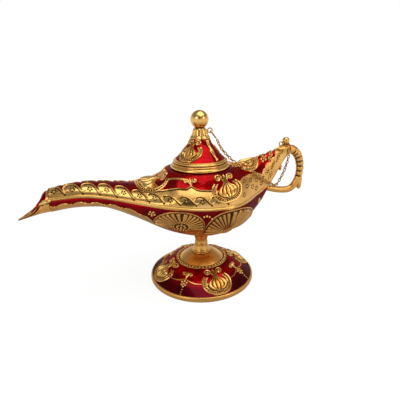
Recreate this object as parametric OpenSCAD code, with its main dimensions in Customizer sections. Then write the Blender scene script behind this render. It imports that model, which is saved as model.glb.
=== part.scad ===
// Ornamental oil lamp with a spout, a loop handle, a round foot and a lid on a chain.
// The origin is the centre of the foot's underside. +Z is up, the spout points to -X
// and the handle to +X. All lengths are in millimetres.

/* [Foot] */
// Radius of the foot at its rim
foot_r = 37.5; // [30:0.5:45]
// Height of the foot's gilt rim
rim_h = 3.4; // [2.6:0.1:5]
// Width of the rim's lip round the enamelled cone
rim_lip = 1.3; // [0.8:0.1:2.5]
// Thickness of the ledge that carries the cone
ledge_t = 1.6; // [1:0.1:2.2]
// Width of the ledge that carries the cone
ledge_w = 2.6; // [2:0.1:4]
// Height of the top of the enamelled cone above the table
cone_h = 14.2; // [11:0.2:18]
// Bulge of the cone's profile, 1 for straight sides
cone_bulge = 1.35; // [1:0.05:2]
// Radius of the beaded edge of the dome
dome_r = 18.4; // [15:0.2:22]
// Height of the dome above the cone
dome_h = 5; // [3:0.2:8]
// Thickness of the beaded ring
bead_t = 1.3; // [0.8:0.1:2]
// Wall of the foot's cast pieces
foot_wall = 1.6; // [1.2:0.1:2.2]

/* [Stem] */
// Radius of the stem at its waist
stem_r = 4.4; // [3.8:0.1:6]
// Radius of the bead at the bottom of the knop
knop_r = 7; // [6.2:0.1:9]
// Height of the knop, the lower half of the stem
knop_h = 6.9; // [5:0.1:10]
// Height of the ferrule, the upper half of the stem
ferrule_h = 6.9; // [5:0.1:10]
// Radius of the ferrule where it meets the bowl
ferrule_r = 5.8; // [5:0.1:8]

/* [Body plan] */
// Width of the bowl across its ridge
body_w = 66; // [56:1:76]
// Half width of the spout at its thickest
spout_w = 8.6; // [7.6:0.2:10]
// Half width of the spout at its nozzle joint
joint_w = 7; // [6.2:0.1:8]
// Half width of the tail near the handle
tail_w = 3.3; // [2.8:0.1:4.4]
// How far the bowl's width carries towards the spout
spout_spread = 47; // [40:1:54]
// How far the bowl's width carries towards the tail
tail_spread = 36; // [32:1:40]
// Distance from the lid's axis to the nozzle joint
joint_x = 97; // [90:1:110]
// Distance from the lid's axis to the spout's highest point
hump_x = 76; // [70:1:82]
// Distance from the lid's axis to the dip behind the spout
saddle_x = 46; // [40:1:52]
// Distance from the lid's axis to the stern, where the hull ends
stern_x = 47; // [44:0.5:50]
// Distance from the lid's axis to the end of the tail
tail_x = 65.5; // [63:0.5:72]

/* [Body heights above the bowl's bottom] */
// Ridge beside the bowl
ridge_z = 29; // [25:0.5:34]
// Ridge under the spout's highest point
ridge_hump_z = 37.2; // [34:0.5:40]
// Ridge at the nozzle joint
ridge_joint_z = 36.2; // [34:0.5:38]
// Ridge at the stern
ridge_stern_z = 32.6; // [30:0.5:35]
// Middle of the tail's end
ridge_tail_z = 56.8; // [54:0.5:60]
// Crown at the nozzle joint
crown_joint_z = 42.6; // [41:0.2:45]
// Crown at the spout's highest point
crown_hump_z = 45.2; // [43:0.2:48]
// Crown at the dip behind the spout
crown_saddle_z = 42; // [40:0.2:44]
// Seat of the neck collar
neck_z = 49.4; // [46:0.2:53]
// Crown where the tail leaves the neck
crown_dip_z = 48.8; // [48:0.2:52]
// Crown at the end of the tail
crown_tail_z = 60.6; // [59:0.2:64]
// Keel at the nozzle joint
keel_joint_z = 28.6; // [27:0.2:30]
// Keel under the spout's highest point
keel_hump_z = 29.8; // [28:0.2:32]
// Keel at the stern
keel_stern_z = 27.4; // [26:0.2:28.5]
// Thickness of the two cast shells
wall = 1.7; // [1.4:0.1:2.2]
// Squareness of the hull's sections, 2 for an ellipse
hull_power = 1.8; // [1.6:0.1:2.4]

/* [Ridge strips] */
// Height of the polished strips over the seam
strip_h = 2.4; // [1.6:0.1:3.2]
// How far the strips stand out from the body
strip_t = 0.9; // [0.5:0.1:1.4]

/* [Spout nozzle] */
// Length from the nozzle joint to the tip of the beak
nozzle_l = 20; // [18:0.5:24]
// Height of the tip above the bowl's bottom
tip_z = 24.8; // [23:0.2:27]
// Radius of the spout's mouth
mouth_r = 4; // [3.4:0.1:4.8]
// Radius of the groove along the beak
groove_r = 2.4; // [1.6:0.1:3]
// Radius of the bosses at the ends of the strips
boss_r = 1.7; // [1.2:0.1:2.2]

/* [Neck and lid] */
// Radius of the filling hole
neck_r = 15.5; // [13:0.1:16.5]
// Outer radius of the neck collar
collar_r = 20.1; // [18.6:0.1:21.5]
// Height of the neck collar
collar_h = 3.8; // [2.6:0.1:5]
// Width over which the shoulders flare up to the collar
flare_w = 7.5; // [5:0.5:12]
// Outer radius of the lid's rim bead
lid_r = 18.2; // [17.2:0.1:18.6]
// Height of the lid's rim bead
lid_rim_h = 2.3; // [1.8:0.1:3.2]
// Height of the enamelled lid cone
lid_h = 13; // [10:0.2:18]
// Curve of the lid cone's profile, 1 for straight sides
lid_curve = 1.35; // [1:0.05:1.8]
// Radius of the lid cone at its top
lid_top_r = 6.5; // [5.6:0.1:8]
// Thickness of the lid's pieces
lid_wall = 1.4; // [1:0.1:1.8]
// Depth of the skirt inside the filling hole
skirt_l = 4; // [3:0.1:6]
// Radial clearance between the skirt and the hole
skirt_gap = 0.3; // [0.15:0.05:0.6]
// Height of the petalled cap
cap_h = 6.7; // [5:0.1:9]
// Radius of the cap at its top
cap_top_r = 4.6; // [4:0.1:5.4]
// Radius of the knob
knob_r = 5.95; // [4.8:0.1:7.2]

/* [Handle] */
// Half width of the loop, from its middle to its centre line
loop_a = 9.7; // [8:0.1:12]
// Half height of the loop, from its middle to its centre line
loop_b = 15.1; // [13.5:0.1:16]
// Half thickness of the loop at its top
loop_top_t = 3.3; // [2.6:0.1:3.6]
// Half thickness of the loop at its bottom
loop_low_t = 2.5; // [2:0.1:2.8]
// Half thickness of the lower arm at the stern
arm_t = 2.2; // [1.6:0.1:2.4]
// Length of the thumb spur below the loop's side
spur_l = 12; // [8:0.5:14]
// Thickness of the thumb spur
spur_t = 3.2; // [2:0.1:4]

/* [Small parts] */
// Radius of the ball on the tail
finial_r = 2.6; // [2:0.1:3.4]
// Radius of the finial's pin
pin_r = 0.8; // [0.6:0.05:1]
// Depth of the finial's pin in the tail
pin_l = 3.4; // [2.4:0.1:4]
// Wire radius of the eyelets and rings
wire_r = 0.4; // [0.3:0.05:0.5]
// Radius of the eyelets to the middle of the wire
eye_r = 1.5; // [1.2:0.1:1.8]
// Length of the oval link between the middles of its ends
oval_l = 4; // [3:0.1:6]
// Half width of the oval link to the middle of the wire
oval_w = 1.1; // [0.9:0.05:1.4]
// Thread radius of the bolt through the stem
bolt_r = 2; // [1.5:0.1:2.4]
// Clearance round bolts, studs and pins
hole_gap = 0.1; // [0.05:0.01:0.3]
// Thread radius of the knob's stud
stud_r = 1.5; // [1.2:0.1:1.8]
// Width of the chain's links
chain_d = 2.2; // [1.8:0.1:2.6]

/* [Relief] */
// Width of the large motifs round the neck
onion_w = 19; // [14:0.5:22]
// Length of the large motifs round the neck
onion_l = 18; // [13:0.5:20]
// How far the large motifs stand proud
onion_h = 1.5; // [0.6:0.1:2]
// Flutes of each fan on the hull
fan_ribs = 12; // [6:1:18]
// How far the fans' flutes stand proud
fan_h = 0.9; // [0.4:0.1:1.4]

/* [Hidden] */
$fn = 64;
eps = 0.05;

// Heights up the axis, each from the piece below it
dome_z = cone_h;
knop_z = dome_z + dome_h;
seam_z = knop_z + knop_h;
bowl_z = seam_z + ferrule_h;
seat_z = bowl_z + neck_z;
lid_z = seat_z + collar_h;
lid_cone_z = lid_z + lid_rim_h;
cap_z = lid_cone_z + lid_h;
knob_z = cap_z + cap_h;
knob_seat_r = cap_top_r * 0.5;
ball_z = knob_z + sqrt(knob_r * knob_r - knob_seat_r * knob_seat_r);

// Fasteners, from the bolt and the stud
washer_t = 0.8;
bolt_nut_h = 1.6 * bolt_r;
bolt_nut_w = 1.75 * bolt_r;
keel_low = 1.6;
boss_floor = bowl_z + keel_low + wall + 1.2;
boss_sides = 32;
foot_floor_z = cone_h - foot_wall;
bolt_head_h = 1.3 * bolt_r;
bolt_head_w = 1.75 * bolt_r;
stud_nut_h = 1.6 * stud_r;
stud_nut_w = 1.75 * stud_r;
lid_deck_z = cap_z - 1.2;

// Smooth curve through hand-set stations, each [x, height]
function station(k, x, i = 0) = (i >= len(k) - 2 || x < k[i + 1][0]) ? i : station(k, x, i + 1);
function rise(k, i) =
    let (a = max(i - 1, 0), b = min(i + 1, len(k) - 1))
    (k[b][1] - k[a][1]) / (k[b][0] - k[a][0]);
function curve(k, x) =
    let (i = station(k, x), h = k[i + 1][0] - k[i][0], t = (x - k[i][0]) / h)
    k[i][1] * (1 + 2 * t) * pow(1 - t, 2) + h * rise(k, i) * t * pow(1 - t, 2)
    + k[i + 1][1] * t * t * (3 - 2 * t) + h * rise(k, i + 1) * t * t * (t - 1);
function ease(t) = let (c = min(max(t, 0), 1)) c * c * (3 - 2 * c);
function mix(a, b, t) = a + (b - a) * t;
function bell(x, spread, power) = exp(-pow(abs(x) / spread, power));

// The body's outline, from the nozzle joint to the end of the tail
tail_step = tail_x - stern_x;
ridge_line = [
    [-joint_x, ridge_joint_z], [-hump_x, ridge_hump_z], [-saddle_x, mix(ridge_z, ridge_hump_z, 0.45)],
    [-collar_r, ridge_z + 1.6], [0, ridge_z + 0.2], [neck_r, ridge_z], [stern_x - 12, ridge_z + 1.2],
    [stern_x, ridge_stern_z], [stern_x + 0.28 * tail_step, mix(ridge_stern_z, ridge_tail_z, 0.24)],
    [stern_x + 0.62 * tail_step, mix(ridge_stern_z, ridge_tail_z, 0.62)], [tail_x, ridge_tail_z]
];
crown_line = [
    [-joint_x, crown_joint_z], [-hump_x - 9, crown_hump_z - 0.6], [-hump_x + 2, crown_hump_z],
    [-mix(saddle_x, hump_x, 0.45), crown_hump_z - 1.4], [-saddle_x, crown_saddle_z],
    [-collar_r - 14, crown_saddle_z + 0.4], [-collar_r - 6, mix(crown_saddle_z, neck_z, 0.42)],
    [-collar_r, neck_z], [collar_r, neck_z], [collar_r + 8, crown_dip_z],
    [stern_x, mix(crown_dip_z, crown_tail_z, 0.48)], [tail_x, crown_tail_z]
];
keel_line = [
    [-joint_x, keel_joint_z], [-hump_x - 8, keel_hump_z + 0.3], [-hump_x + 4, keel_hump_z],
    [-mix(saddle_x, hump_x, 0.55), keel_hump_z - 1.6], [-saddle_x, 0.68 * keel_hump_z],
    [-24, 0.27 * keel_hump_z], [0, keel_low], [19, 0.15 * keel_stern_z], [33, 0.38 * keel_stern_z],
    [stern_x - 4, 0.72 * keel_stern_z], [stern_x, keel_stern_z]
];
under_line = [
    [stern_x, ridge_stern_z], [stern_x + 0.26 * tail_step, mix(ridge_stern_z, ridge_tail_z, 0.1)],
    [stern_x + 0.46 * tail_step, mix(ridge_stern_z, ridge_tail_z, 0.26)],
    [stern_x + 0.63 * tail_step, mix(ridge_stern_z, ridge_tail_z, 0.49)],
    [tail_x, ridge_tail_z - (crown_tail_z - ridge_tail_z)]
];
function ridge_at(x) = bowl_z + curve(ridge_line, x);
function crown_at(x) = bowl_z + curve(crown_line, x);
function keel_at(x) = bowl_z + curve(keel_line, x);
function under_at(x) = bowl_z + curve(under_line, max(x, stern_x));
function half_at(x) =
    x < 0
    ? let (w = mix(spout_w, joint_w, ease((-x - hump_x) / (joint_x - hump_x))))
      w + (body_w / 2 - w) * bell(x, spout_spread, 2.3)
    : let (w = mix(spout_w * 0.55, tail_w, ease((x - stern_x) / tail_step)))
      w + (body_w / 2 - w) * bell(x, tail_spread, 3);

// Stations along the body, closer where it turns fast
hull_n = 40;
tail_n = 9;
hull_xs = [for (i = [0:hull_n]) mix(-joint_x, stern_x, i / hull_n)];
tail_xs = [for (i = [1:tail_n]) mix(stern_x, tail_x, i / tail_n)];
arc_n = 18;

// The shoulders' height, an arch that flares up to a flat seat round the neck
function shoulder(x, y, h) =
    let (r = norm([x, y]), k = 1 - ease((r - collar_r - 0.6) / flare_w))
    mix(h, seat_z, k);

// Whether the shoulders flare up to the seat at this station
function flares_at(x) =
    abs(x) < collar_r + 4 || (x < 0 && x > -collar_r - flare_w - 0.6);

// How far the hollow has closed, 0 in the bowl and 1 in the tail
function closed_at(x) = ease((x - stern_x + 10) / 9);

// One ring of the upper shell: over the outside, then back along the inside
function upper_ring(x) =
    let (
        w = half_at(x), r = ridge_at(x), c = crown_at(x), k = closed_at(x),
        wi = mix(w - wall, w - 0.5, k),
        hi = mix(c - wall - r, min(under_at(x) - r, 0), k),
        near = flares_at(x)
    )
    concat(
        [for (j = [0:arc_n])
            let (a = 180 * j / arc_n, y = w * cos(a), z = r + (c - r) * sin(a))
            [x, y, near && j > 0 && j < arc_n ? shoulder(x, y, z) : z]],
        [for (j = [arc_n:-1:0])
            let (a = 180 * j / arc_n, y = wi * cos(a), z = r + hi * sin(a))
            [x, y, near && j > 0 && j < arc_n ? shoulder(x, y, z + wall) - wall : z]]
    );

// One ring of the hull: under the outside, then back along the inside
function lower_ring(x) =
    let (
        w = half_at(x), r = ridge_at(x), d = r - keel_at(x),
        k = ease((x - stern_x + 9) / 9), wi = w - wall, di = (d - wall) * (1 - k)
    )
    concat(
        [for (j = [0:arc_n])
            let (a = 180 * j / arc_n)
            [x, -w * cos(a), r - d * pow(sin(a), 2 / hull_power)]],
        [for (j = [arc_n:-1:0])
            let (a = 180 * j / arc_n)
            [x, -wi * cos(a), r - di * pow(sin(a), 2 / hull_power)]]
    );

// A point of the shoulders or the hull by its angle from the near ridge
function over_at(x, a) =
    let (w = half_at(x), r = ridge_at(x), y = -w * cos(a), z = r + (crown_at(x) - r) * sin(a))
    [x, y, flares_at(x) ? shoulder(x, y, z) : z];
function under_at_angle(x, a) =
    let (r = ridge_at(x))
    [x, -half_at(x) * cos(a), r - (r - keel_at(x)) * pow(sin(a), 2 / hull_power)];

// The same point raised by h, where p holds the points on either side along x and round the body
function raise(point, p, h) =
    let (n = cross(p[1] - p[0], p[3] - p[2]))
    point + h * n / norm(n);
function over_raised(x, a, h) =
    raise(over_at(x, a), [
        over_at(x - 0.5, a), over_at(x + 0.5, a), over_at(x, a - 1), over_at(x, a + 1)
    ], h);
function under_raised(x, a, h) =
    raise(under_at_angle(x, a), [
        under_at_angle(x, a - 1), under_at_angle(x, a + 1),
        under_at_angle(x - 0.5, a), under_at_angle(x + 0.5, a)
    ], h);

// The angle at which a distance g round the body from the near ridge ends
angle_step = 2;
function over_angle(x, g, a = 0) =
    let (d = norm(over_at(x, a + angle_step) - over_at(x, a)))
    g <= d ? a + angle_step * g / d : over_angle(x, g - d, a + angle_step);
function under_angle(x, g, a = 0) =
    let (d = norm(under_at_angle(x, a + angle_step) - under_at_angle(x, a)))
    g <= d ? a + angle_step * g / d : under_angle(x, g - d, a + angle_step);

// The faces between a row of rings with equal counts
function skin(m, n) = [
    for (i = [0:n - 2]) for (j = [0:m - 1])
    let (a = i * m + j, b = i * m + (j + 1) % m)
    each [[a, a + m, b], [b, a + m, b + m]]
];

// A solid skin over rings that bulge outwards all round
module loft(rings) {
    m = len(rings[0]);
    n = len(rings);
    ends = [[for (j = [0:m - 1]) j], [for (j = [m - 1:-1:0]) (n - 1) * m + j]];
    polyhedron([for (r = rings) each r], concat(skin(m, n), ends));
}

// A solid skin over rings that run along an outside and back along an inside
module shell(rings) {
    m = len(rings[0]);
    n = len(rings);
    ends = [
        for (j = [0:m / 2 - 2])
        let (
            a = j, b = j + 1, c = m - 2 - j, d = m - 1 - j,
            front = j < m / 4 ? [[a, b, d], [b, c, d]] : [[a, b, c], [a, c, d]]
        )
        each concat(front, [for (f = front) (n - 1) * m * [1, 1, 1] + [f[0], f[2], f[1]]])
    ];
    polyhedron([for (r = rings) each r], concat(skin(m, n), ends));
}

// A ring solid turned from a list of [radius, height]
module turned(outline) {
    rotate_extrude() polygon(outline);
}

// A torus of wire about the local Z axis
module wire_ring(r, wire) {
    rotate_extrude() translate([r, 0]) circle(wire, $fn = 24);
}

// Rounded bar swept through centre points in the X-Z plane
function ring_at(p, q, s, rn, ry, sides) =
    let (t = (q - p) / norm(q - p), n = [-t[2], 0, t[0]])
    [for (j = [0:sides - 1])
        let (a = 360 * j / sides)
        s + rn * cos(a) * n - [0, ry * sin(a), 0]];

module foot_rim() {
    color("goldenrod") turned([
        [foot_r - rim_lip - ledge_w, 0], [foot_r - 0.4, 0], [foot_r, 0.5], [foot_r, rim_h - 0.7],
        [foot_r - 0.6, rim_h], [foot_r - rim_lip, rim_h], [foot_r - rim_lip, ledge_t],
        [foot_r - rim_lip - ledge_w, ledge_t]
    ]);
}

function cone_z(r, drop) =
    let (t = (r - dome_r) / (foot_r - rim_lip - dome_r))
    r < dome_r ? cone_h - drop : mix(cone_h, rim_h - 0.2, pow(min(max(t, 0), 1), cone_bulge)) - drop;

module foot_cone() {
    r_out = foot_r - rim_lip - 0.05;
    steps = 12;
    rs = [for (i = [0:steps]) mix(dome_r, r_out, i / steps)];
    color("crimson") turned(concat(
        [[bolt_r + hole_gap, cone_h - foot_wall], [bolt_r + hole_gap, cone_h]],
        [for (r = rs) [r, cone_z(r, 0)]],
        [[r_out, ledge_t], [r_out - foot_wall, ledge_t]],
        [for (i = [steps - 1:-1:0]) [rs[i] - foot_wall * 0.6, cone_z(rs[i], foot_wall)]]
    ));
}

module foot_dome() {
    steps = 10;
    lip_r = dome_r - 2 * bead_t;
    color("gold") turned(concat(
        [[bolt_r + hole_gap, dome_z], [bolt_r + hole_gap, knop_z], [knop_r, knop_z]],
        [for (i = [1:steps])
            let (t = i / steps)
            [mix(knop_r, lip_r, t), knop_z - (dome_h - 0.8) * pow(t, 1.7)]],
        [[lip_r, dome_z]]
    ));
}

module dome_bead_ring() {
    lip_r = dome_r - 2 * bead_t;
    color("gold") turned([
        [lip_r + eps, dome_z], [dome_r, dome_z], [dome_r, dome_z + 0.5 * bead_t],
        [dome_r - 0.4 * bead_t, dome_z + bead_t], [lip_r + 0.5 * bead_t, dome_z + bead_t],
        [lip_r + eps, dome_z + 0.6 * bead_t]
    ]);
}

module stem_knop() {
    color("goldenrod") turned([
        [bolt_r + hole_gap, knop_z], [knop_r - 0.3, knop_z], [knop_r, knop_z + 0.6],
        [knop_r - 0.4, knop_z + 1.1], [mix(knop_r, stem_r, 0.35), knop_z + 1.5],
        [mix(knop_r, stem_r, 0.7), knop_z + 0.36 * knop_h], [stem_r + 0.25, knop_z + 0.58 * knop_h],
        [stem_r, knop_z + 0.8 * knop_h], [stem_r + 0.15, seam_z - 0.3], [stem_r, seam_z],
        [bolt_r + hole_gap, seam_z]
    ]);
}

module stem_ferrule() {
    color("goldenrod") turned([
        [bolt_r + hole_gap, seam_z], [stem_r + 0.1, seam_z], [stem_r + 0.15, seam_z + 0.4],
        [stem_r - 0.1, seam_z + 0.8], [stem_r, seam_z + 0.45 * ferrule_h],
        [mix(stem_r, ferrule_r, 0.35), seam_z + 0.7 * ferrule_h], [ferrule_r, bowl_z],
        [bolt_r + hole_gap, bowl_z]
    ]);
}

// Relief is sunk into the wall by this much
sink = 0.7;
sunk_edge = -0.3;

// A large motif: a lobed bulb in a cup with a raised rim, drawn in together at its neck and curls.
// Each row is [share of the length, share of the half width, share of the height]
onion_rows = [
    [0, 0.2, 0], [0.05, 0.6, 0.8], [0.17, 0.86, 1], [0.34, 1, 1], [0.52, 0.95, 1], [0.66, 0.72, 0.9],
    [0.76, 0.26, 0.8], [0.9, 0.36, 0.6], [1, 0.12, 0]
];
// Across a row, each column is [share of the half width, share of the height]
onion_columns = [
    [-1, sunk_edge], [-0.9, 0.65], [-0.7, 0.25], [-0.46, 0.85], [-0.23, 0.65], [0, 1],
    [0.23, 0.65], [0.46, 0.85], [0.7, 0.25], [0.9, 0.65], [1, sunk_edge]
];
// Where the motifs' feet stand: beside the neck, on the spout's crown and on the tail's crown
side_foot = [8.6, 4.2];
spout_foot_x = -46;
tail_foot_x = 40;

function onion_side(s, t, h) =
    over_raised(side_foot[0] + s, over_angle(side_foot[0] + s, side_foot[1] + t), h);
function onion_crown(foot, way, s, t, h) =
    let (x = foot + way * t)
    over_raised(x, 90 - way * s / half_at(x) * 180 / PI, h);
function onion_point(foot, way, s, t, h) =
    way == 0 ? onion_side(s, t, h) : onion_crown(foot, way, s, t, h);

module onion(foot, way) {
    shell([for (row = onion_rows)
        let (t = row[0] * onion_l, w = row[1] * onion_w / 2)
        concat(
            [for (c = onion_columns)
                onion_point(foot, way, c[0] * w, t, mix(sunk_edge, c[1] * onion_h, row[2]))],
            [for (k = [len(onion_columns) - 1:-1:0])
                onion_point(foot, way, onion_columns[k][0] * w, t, -sink)]
        )]);
}

// A fan: flutes from its foot to a rim, given by [foot x, foot girth], its reach towards the
// spout, towards the stern and up to the ridge, and the angles where it starts and ends
fans = [
    [[-19.6, 13.2], 16, 13.8, 11.4, -12, 192],
    [[11, 21], 16.5, 23, 19.2, -6, 186]
];
fan_power = 2.4;
// Across a flute, each column is [share of the reach, height on a flute, height between flutes]
fan_columns = [
    [0.17, sunk_edge, sunk_edge], [0.22, 0.5, 0.5], [0.55, 1, 0.2], [0.86, 1, 0.3], [0.94, 0.9, 0.9],
    [1, sunk_edge, sunk_edge]
];
function bulge(v) = sign(v) * pow(abs(v), 2 / fan_power);
function fan_point(fan, share, a, h) =
    let (
        x = fan[0][0] + share * (cos(a) > 0 ? fan[2] : fan[1]) * bulge(cos(a)),
        g = fan[0][1] - share * fan[3] * bulge(sin(a))
    )
    under_raised(x, under_angle(x, max(g, 0.6)), h);

module fan(fan) {
    stations = 2 * fan_ribs;
    shell([for (k = [0:stations])
        let (a = mix(fan[4], fan[5], k / stations), crest = 1 + k % 2)
        concat(
            [for (c = fan_columns)
                fan_point(fan, c[0], a, c[crest] < 0 ? c[crest] : c[crest] * fan_h)],
            [for (i = [len(fan_columns) - 1:-1:0])
                fan_point(fan, fan_columns[i][0], a, -sink)]
        )]);
}

module lower_shell() {
    color("crimson") difference() {
        union() {
            shell([for (x = hull_xs) lower_ring(x)]);
            for (side = [0, 1]) mirror([0, side, 0])
                for (f = fans) fan(f);
            translate([0, 0, bowl_z]) linear_extrude(boss_floor - bowl_z) polygon([
                for (j = [0:boss_sides - 1])
                let (a = 360 * (j + 0.5) / boss_sides)
                ferrule_r * [cos(a), sin(a)]
            ]);
        }
        translate([0, 0, bowl_z - 1]) cylinder(r = bolt_r + hole_gap, h = boss_floor - bowl_z + 2);
    }
}

module upper_shell() {
    color("crimson") difference() {
        union() {
            shell([for (x = concat(hull_xs, tail_xs)) upper_ring(x)]);
            for (side = [0, 1]) mirror([0, side, 0]) onion(0, 0);
            onion(spout_foot_x, 1);
            onion(tail_foot_x, -1);
        }
        translate([0, 0, seat_z - 8]) cylinder(r = neck_r, h = 9);
        translate([finial_x, 0, finial_z - pin_l - 0.2]) cylinder(r = pin_r + hole_gap, h = pin_l + 2);
    }
}

// A strip beside the ridge, with a flat back and a round face
function strip_ring(x) =
    let (w = half_at(x) + eps, r = ridge_at(x), n = 6)
    [for (j = [0:n])
        let (a = 180 * j / n - 90)
        [x, w + strip_t * cos(a), r + strip_h / 2 * sin(a)]];

module ridge_strips() {
    color("gold") for (side = [0, 1]) mirror([0, side, 0])
        loft([for (x = hull_xs) if (x < stern_x - 5) strip_ring(x)]);
}

// The beak: full section at the joint, a slanted face, then a groove to the tip
tip_x = -joint_x - nozzle_l;
lip_x = -joint_x - 0.5 * nozzle_l;
beak_top = [
    [tip_x, tip_z + 0.5], [mix(tip_x, lip_x, 0.5), mix(tip_z, ridge_joint_z, 0.3)],
    [lip_x, mix(tip_z, ridge_joint_z, 0.62)], [-joint_x - 3.3, crown_joint_z - 1.8],
    [-joint_x, crown_joint_z]
];
beak_low = [
    [tip_x, tip_z - 0.4], [lip_x, mix(tip_z, keel_joint_z, 0.6)], [-joint_x, keel_joint_z]
];
function beak_half(x) = mix(0.7, half_at(-joint_x), pow((x - tip_x) / nozzle_l, 0.75));
function beak_ring(x) =
    let (
        sides = 24, t = (x - tip_x) / nozzle_l,
        top = bowl_z + curve(beak_top, x), low = bowl_z + curve(beak_low, x),
        side = mix(mix(low, top, 0.5), ridge_at(-joint_x), ease((t - 0.5) / 0.5)),
        w = beak_half(x)
    )
    [for (j = [0:sides - 1])
        let (a = 360 * j / sides, s = sin(a))
        [x, w * cos(a), side + (s > 0 ? top - side : side - low) * s]];

module spout_nozzle() {
    xs = [tip_x, for (i = [1:7]) mix(tip_x, lip_x, i / 7), for (i = [1:6]) mix(lip_x, -joint_x, i / 6)];
    mouth_z = bowl_z + mix(keel_joint_z, crown_joint_z, 0.52);
    slope = atan2(beak_top[2][1] - beak_top[0][1], lip_x - tip_x);
    color("gold") difference() {
        loft([for (x = xs) beak_ring(x)]);
        translate([-joint_x + 1, 0, mouth_z]) rotate([0, -90, 0]) cylinder(r = mouth_r, h = nozzle_l);
        translate([tip_x + 3, 0, bowl_z + curve(beak_top, tip_x + 3) + 0.75 * groove_r])
            rotate([0, 90 - slope, 0]) cylinder(r = groove_r, h = nozzle_l / 2);
    }
}

module nozzle_bosses() {
    x = -joint_x - boss_r - 0.3;
    back = beak_half(x + boss_r) + eps;
    color("gold") for (side = [-1, 1])
        translate([x, side * back, ridge_at(-joint_x) - 0.8]) rotate([-90 * side, 0, 0])
            turned([[0, 0], [boss_r, 0], [boss_r, 0.5], [boss_r * 0.7, 1], [boss_r * 0.3, 1.2], [0, 1.25]]);
}

module neck_collar() {
    color("gold") turned([
        [neck_r, seat_z], [collar_r - 0.7, seat_z], [collar_r - 0.1, seat_z + 0.16 * collar_h],
        [collar_r, seat_z + 0.34 * collar_h], [collar_r - 0.35, seat_z + 0.54 * collar_h],
        [collar_r - 1.1, seat_z + 0.68 * collar_h], [collar_r - 1.5, seat_z + 0.76 * collar_h],
        [collar_r - 1.3, seat_z + 0.88 * collar_h], [collar_r - 1.7, lid_z], [neck_r, lid_z]
    ]);
}

// The loop: out of the tail's end, round an oval, and along the lower arm to the stern
loop_c = [tail_x + 0.3, 0, bowl_z + ridge_tail_z - loop_b];
arm_z = ridge_at(stern_x) - arm_t - 0.25;
function loop_point(a) = loop_c + [loop_a * sin(a), 0, loop_b * cos(a)];
loop_n = 24;
arm_n = 8;
function arm_point(t) =
    let (p = loop_point(180), q = [stern_x, 0, arm_z], c = [mix(p[0], q[0], 0.45), 0, p[2]],
         e = [q[0] + 4, 0, q[2] - 0.4])
    pow(1 - t, 3) * p + 3 * t * pow(1 - t, 2) * c + 3 * t * t * (1 - t) * e + t * t * t * q;
loop_path = concat(
    [[tail_x, 0, loop_c[2] + loop_b]],
    [for (i = [1:loop_n]) loop_point(180 * i / loop_n)],
    [for (i = [1:arm_n]) arm_point(i / arm_n)]
);
function loop_t(i) =
    i <= loop_n
    ? mix(loop_top_t, loop_low_t, ease(i / loop_n))
    : mix(loop_low_t, arm_t, (i - loop_n) / arm_n);

module handle_loop() {
    last = len(loop_path) - 1;
    sides = 14;
    rings = [for (i = [0:last])
        let (
            s = loop_path[i], p = i == 0 ? s - [1, 0, 0] : loop_path[i - 1],
            q = i == last ? s - [1, 0, 0] : loop_path[i + 1]
        )
        ring_at(p, q, s, loop_t(i), loop_t(i) * 0.92, sides)];
    side_x = loop_c[0] + loop_a;
    spur_top = loop_c[2] - 0.25 * loop_b;
    color("gold") union() {
        loft(rings);
        translate([0, spur_t / 2, 0]) rotate([90, 0, 0]) linear_extrude(spur_t) polygon([
            [side_x - 0.5, spur_top], [side_x + 2, spur_top], [side_x + 2.2, spur_top - 0.5 * spur_l],
            [side_x + 1.2, spur_top - spur_l], [side_x - 1.2, spur_top - 0.8 * spur_l],
            [side_x - 3.4, spur_top - 0.66 * spur_l]
        ]);
    }
}

// The finial stands on the tail, with the eyelet and the chain's ring about its neck
finial_x = tail_x - 2.6;
finial_z = crown_at(finial_x);
module tail_finial() {
    neck = 0.9;
    translate([finial_x, 0, 0]) color("gold") union() {
        translate([0, 0, finial_z - pin_l]) cylinder(r = pin_r, h = pin_l + neck + 0.6);
        translate([0, 0, finial_z + neck + finial_r * 0.92]) sphere(finial_r, $fn = 48);
    }
}

module tail_eyelet() {
    translate([finial_x - finial_r - 1.2, 0, finial_z + 1.25]) rotate([90, 0, 0])
        color("gold") wire_ring(eye_r - 0.2, wire_r);
}

module tail_ring() {
    color("gold") translate([finial_x + 0.2, -0.2, finial_z + 0.47]) rotate([9, -18, 0])
        wire_ring(eye_r + 0.7, wire_r * 0.8);
}

function lid_r_at(z) =
    let (t = (z - lid_cone_z) / lid_h)
    lid_top_r + (lid_r - 1.9 - lid_top_r) * pow(max(1 - t, 0), lid_curve);

module lid_cone() {
    steps = 14;
    zs = [for (i = [0:steps]) mix(lid_cone_z, cap_z, i / steps)];
    color("crimson") turned(concat(
        [[lid_r_at(lid_cone_z) - lid_wall * 1.5, lid_cone_z]],
        [for (z = zs) [lid_r_at(z), z]],
        [[stud_r + hole_gap, cap_z], [stud_r + hole_gap, lid_deck_z]],
        [[lid_r_at(lid_deck_z) - lid_wall, lid_deck_z]],
        [for (i = [steps - 2:-1:1]) [lid_r_at(zs[i]) - lid_wall, zs[i] - 0.3]]
    ));
}

module lid_rim_bead() {
    inner = neck_r - skirt_gap - lid_wall;
    color("gold") turned([
        [inner, lid_z], [lid_r - 0.6, lid_z], [lid_r, lid_z + 0.3 * lid_rim_h],
        [lid_r - 0.1, lid_z + 0.6 * lid_rim_h], [lid_r - 0.8, lid_z + 0.86 * lid_rim_h],
        [lid_r - 1.6, lid_cone_z], [inner, lid_cone_z]
    ]);
}

module lid_skirt() {
    r = neck_r - skirt_gap;
    color("gold") turned([
        [r - lid_wall, lid_z - skirt_l], [r - 0.4, lid_z - skirt_l], [r, lid_z - skirt_l + 0.5],
        [r, lid_z], [r - lid_wall, lid_z]
    ]);
}

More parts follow.
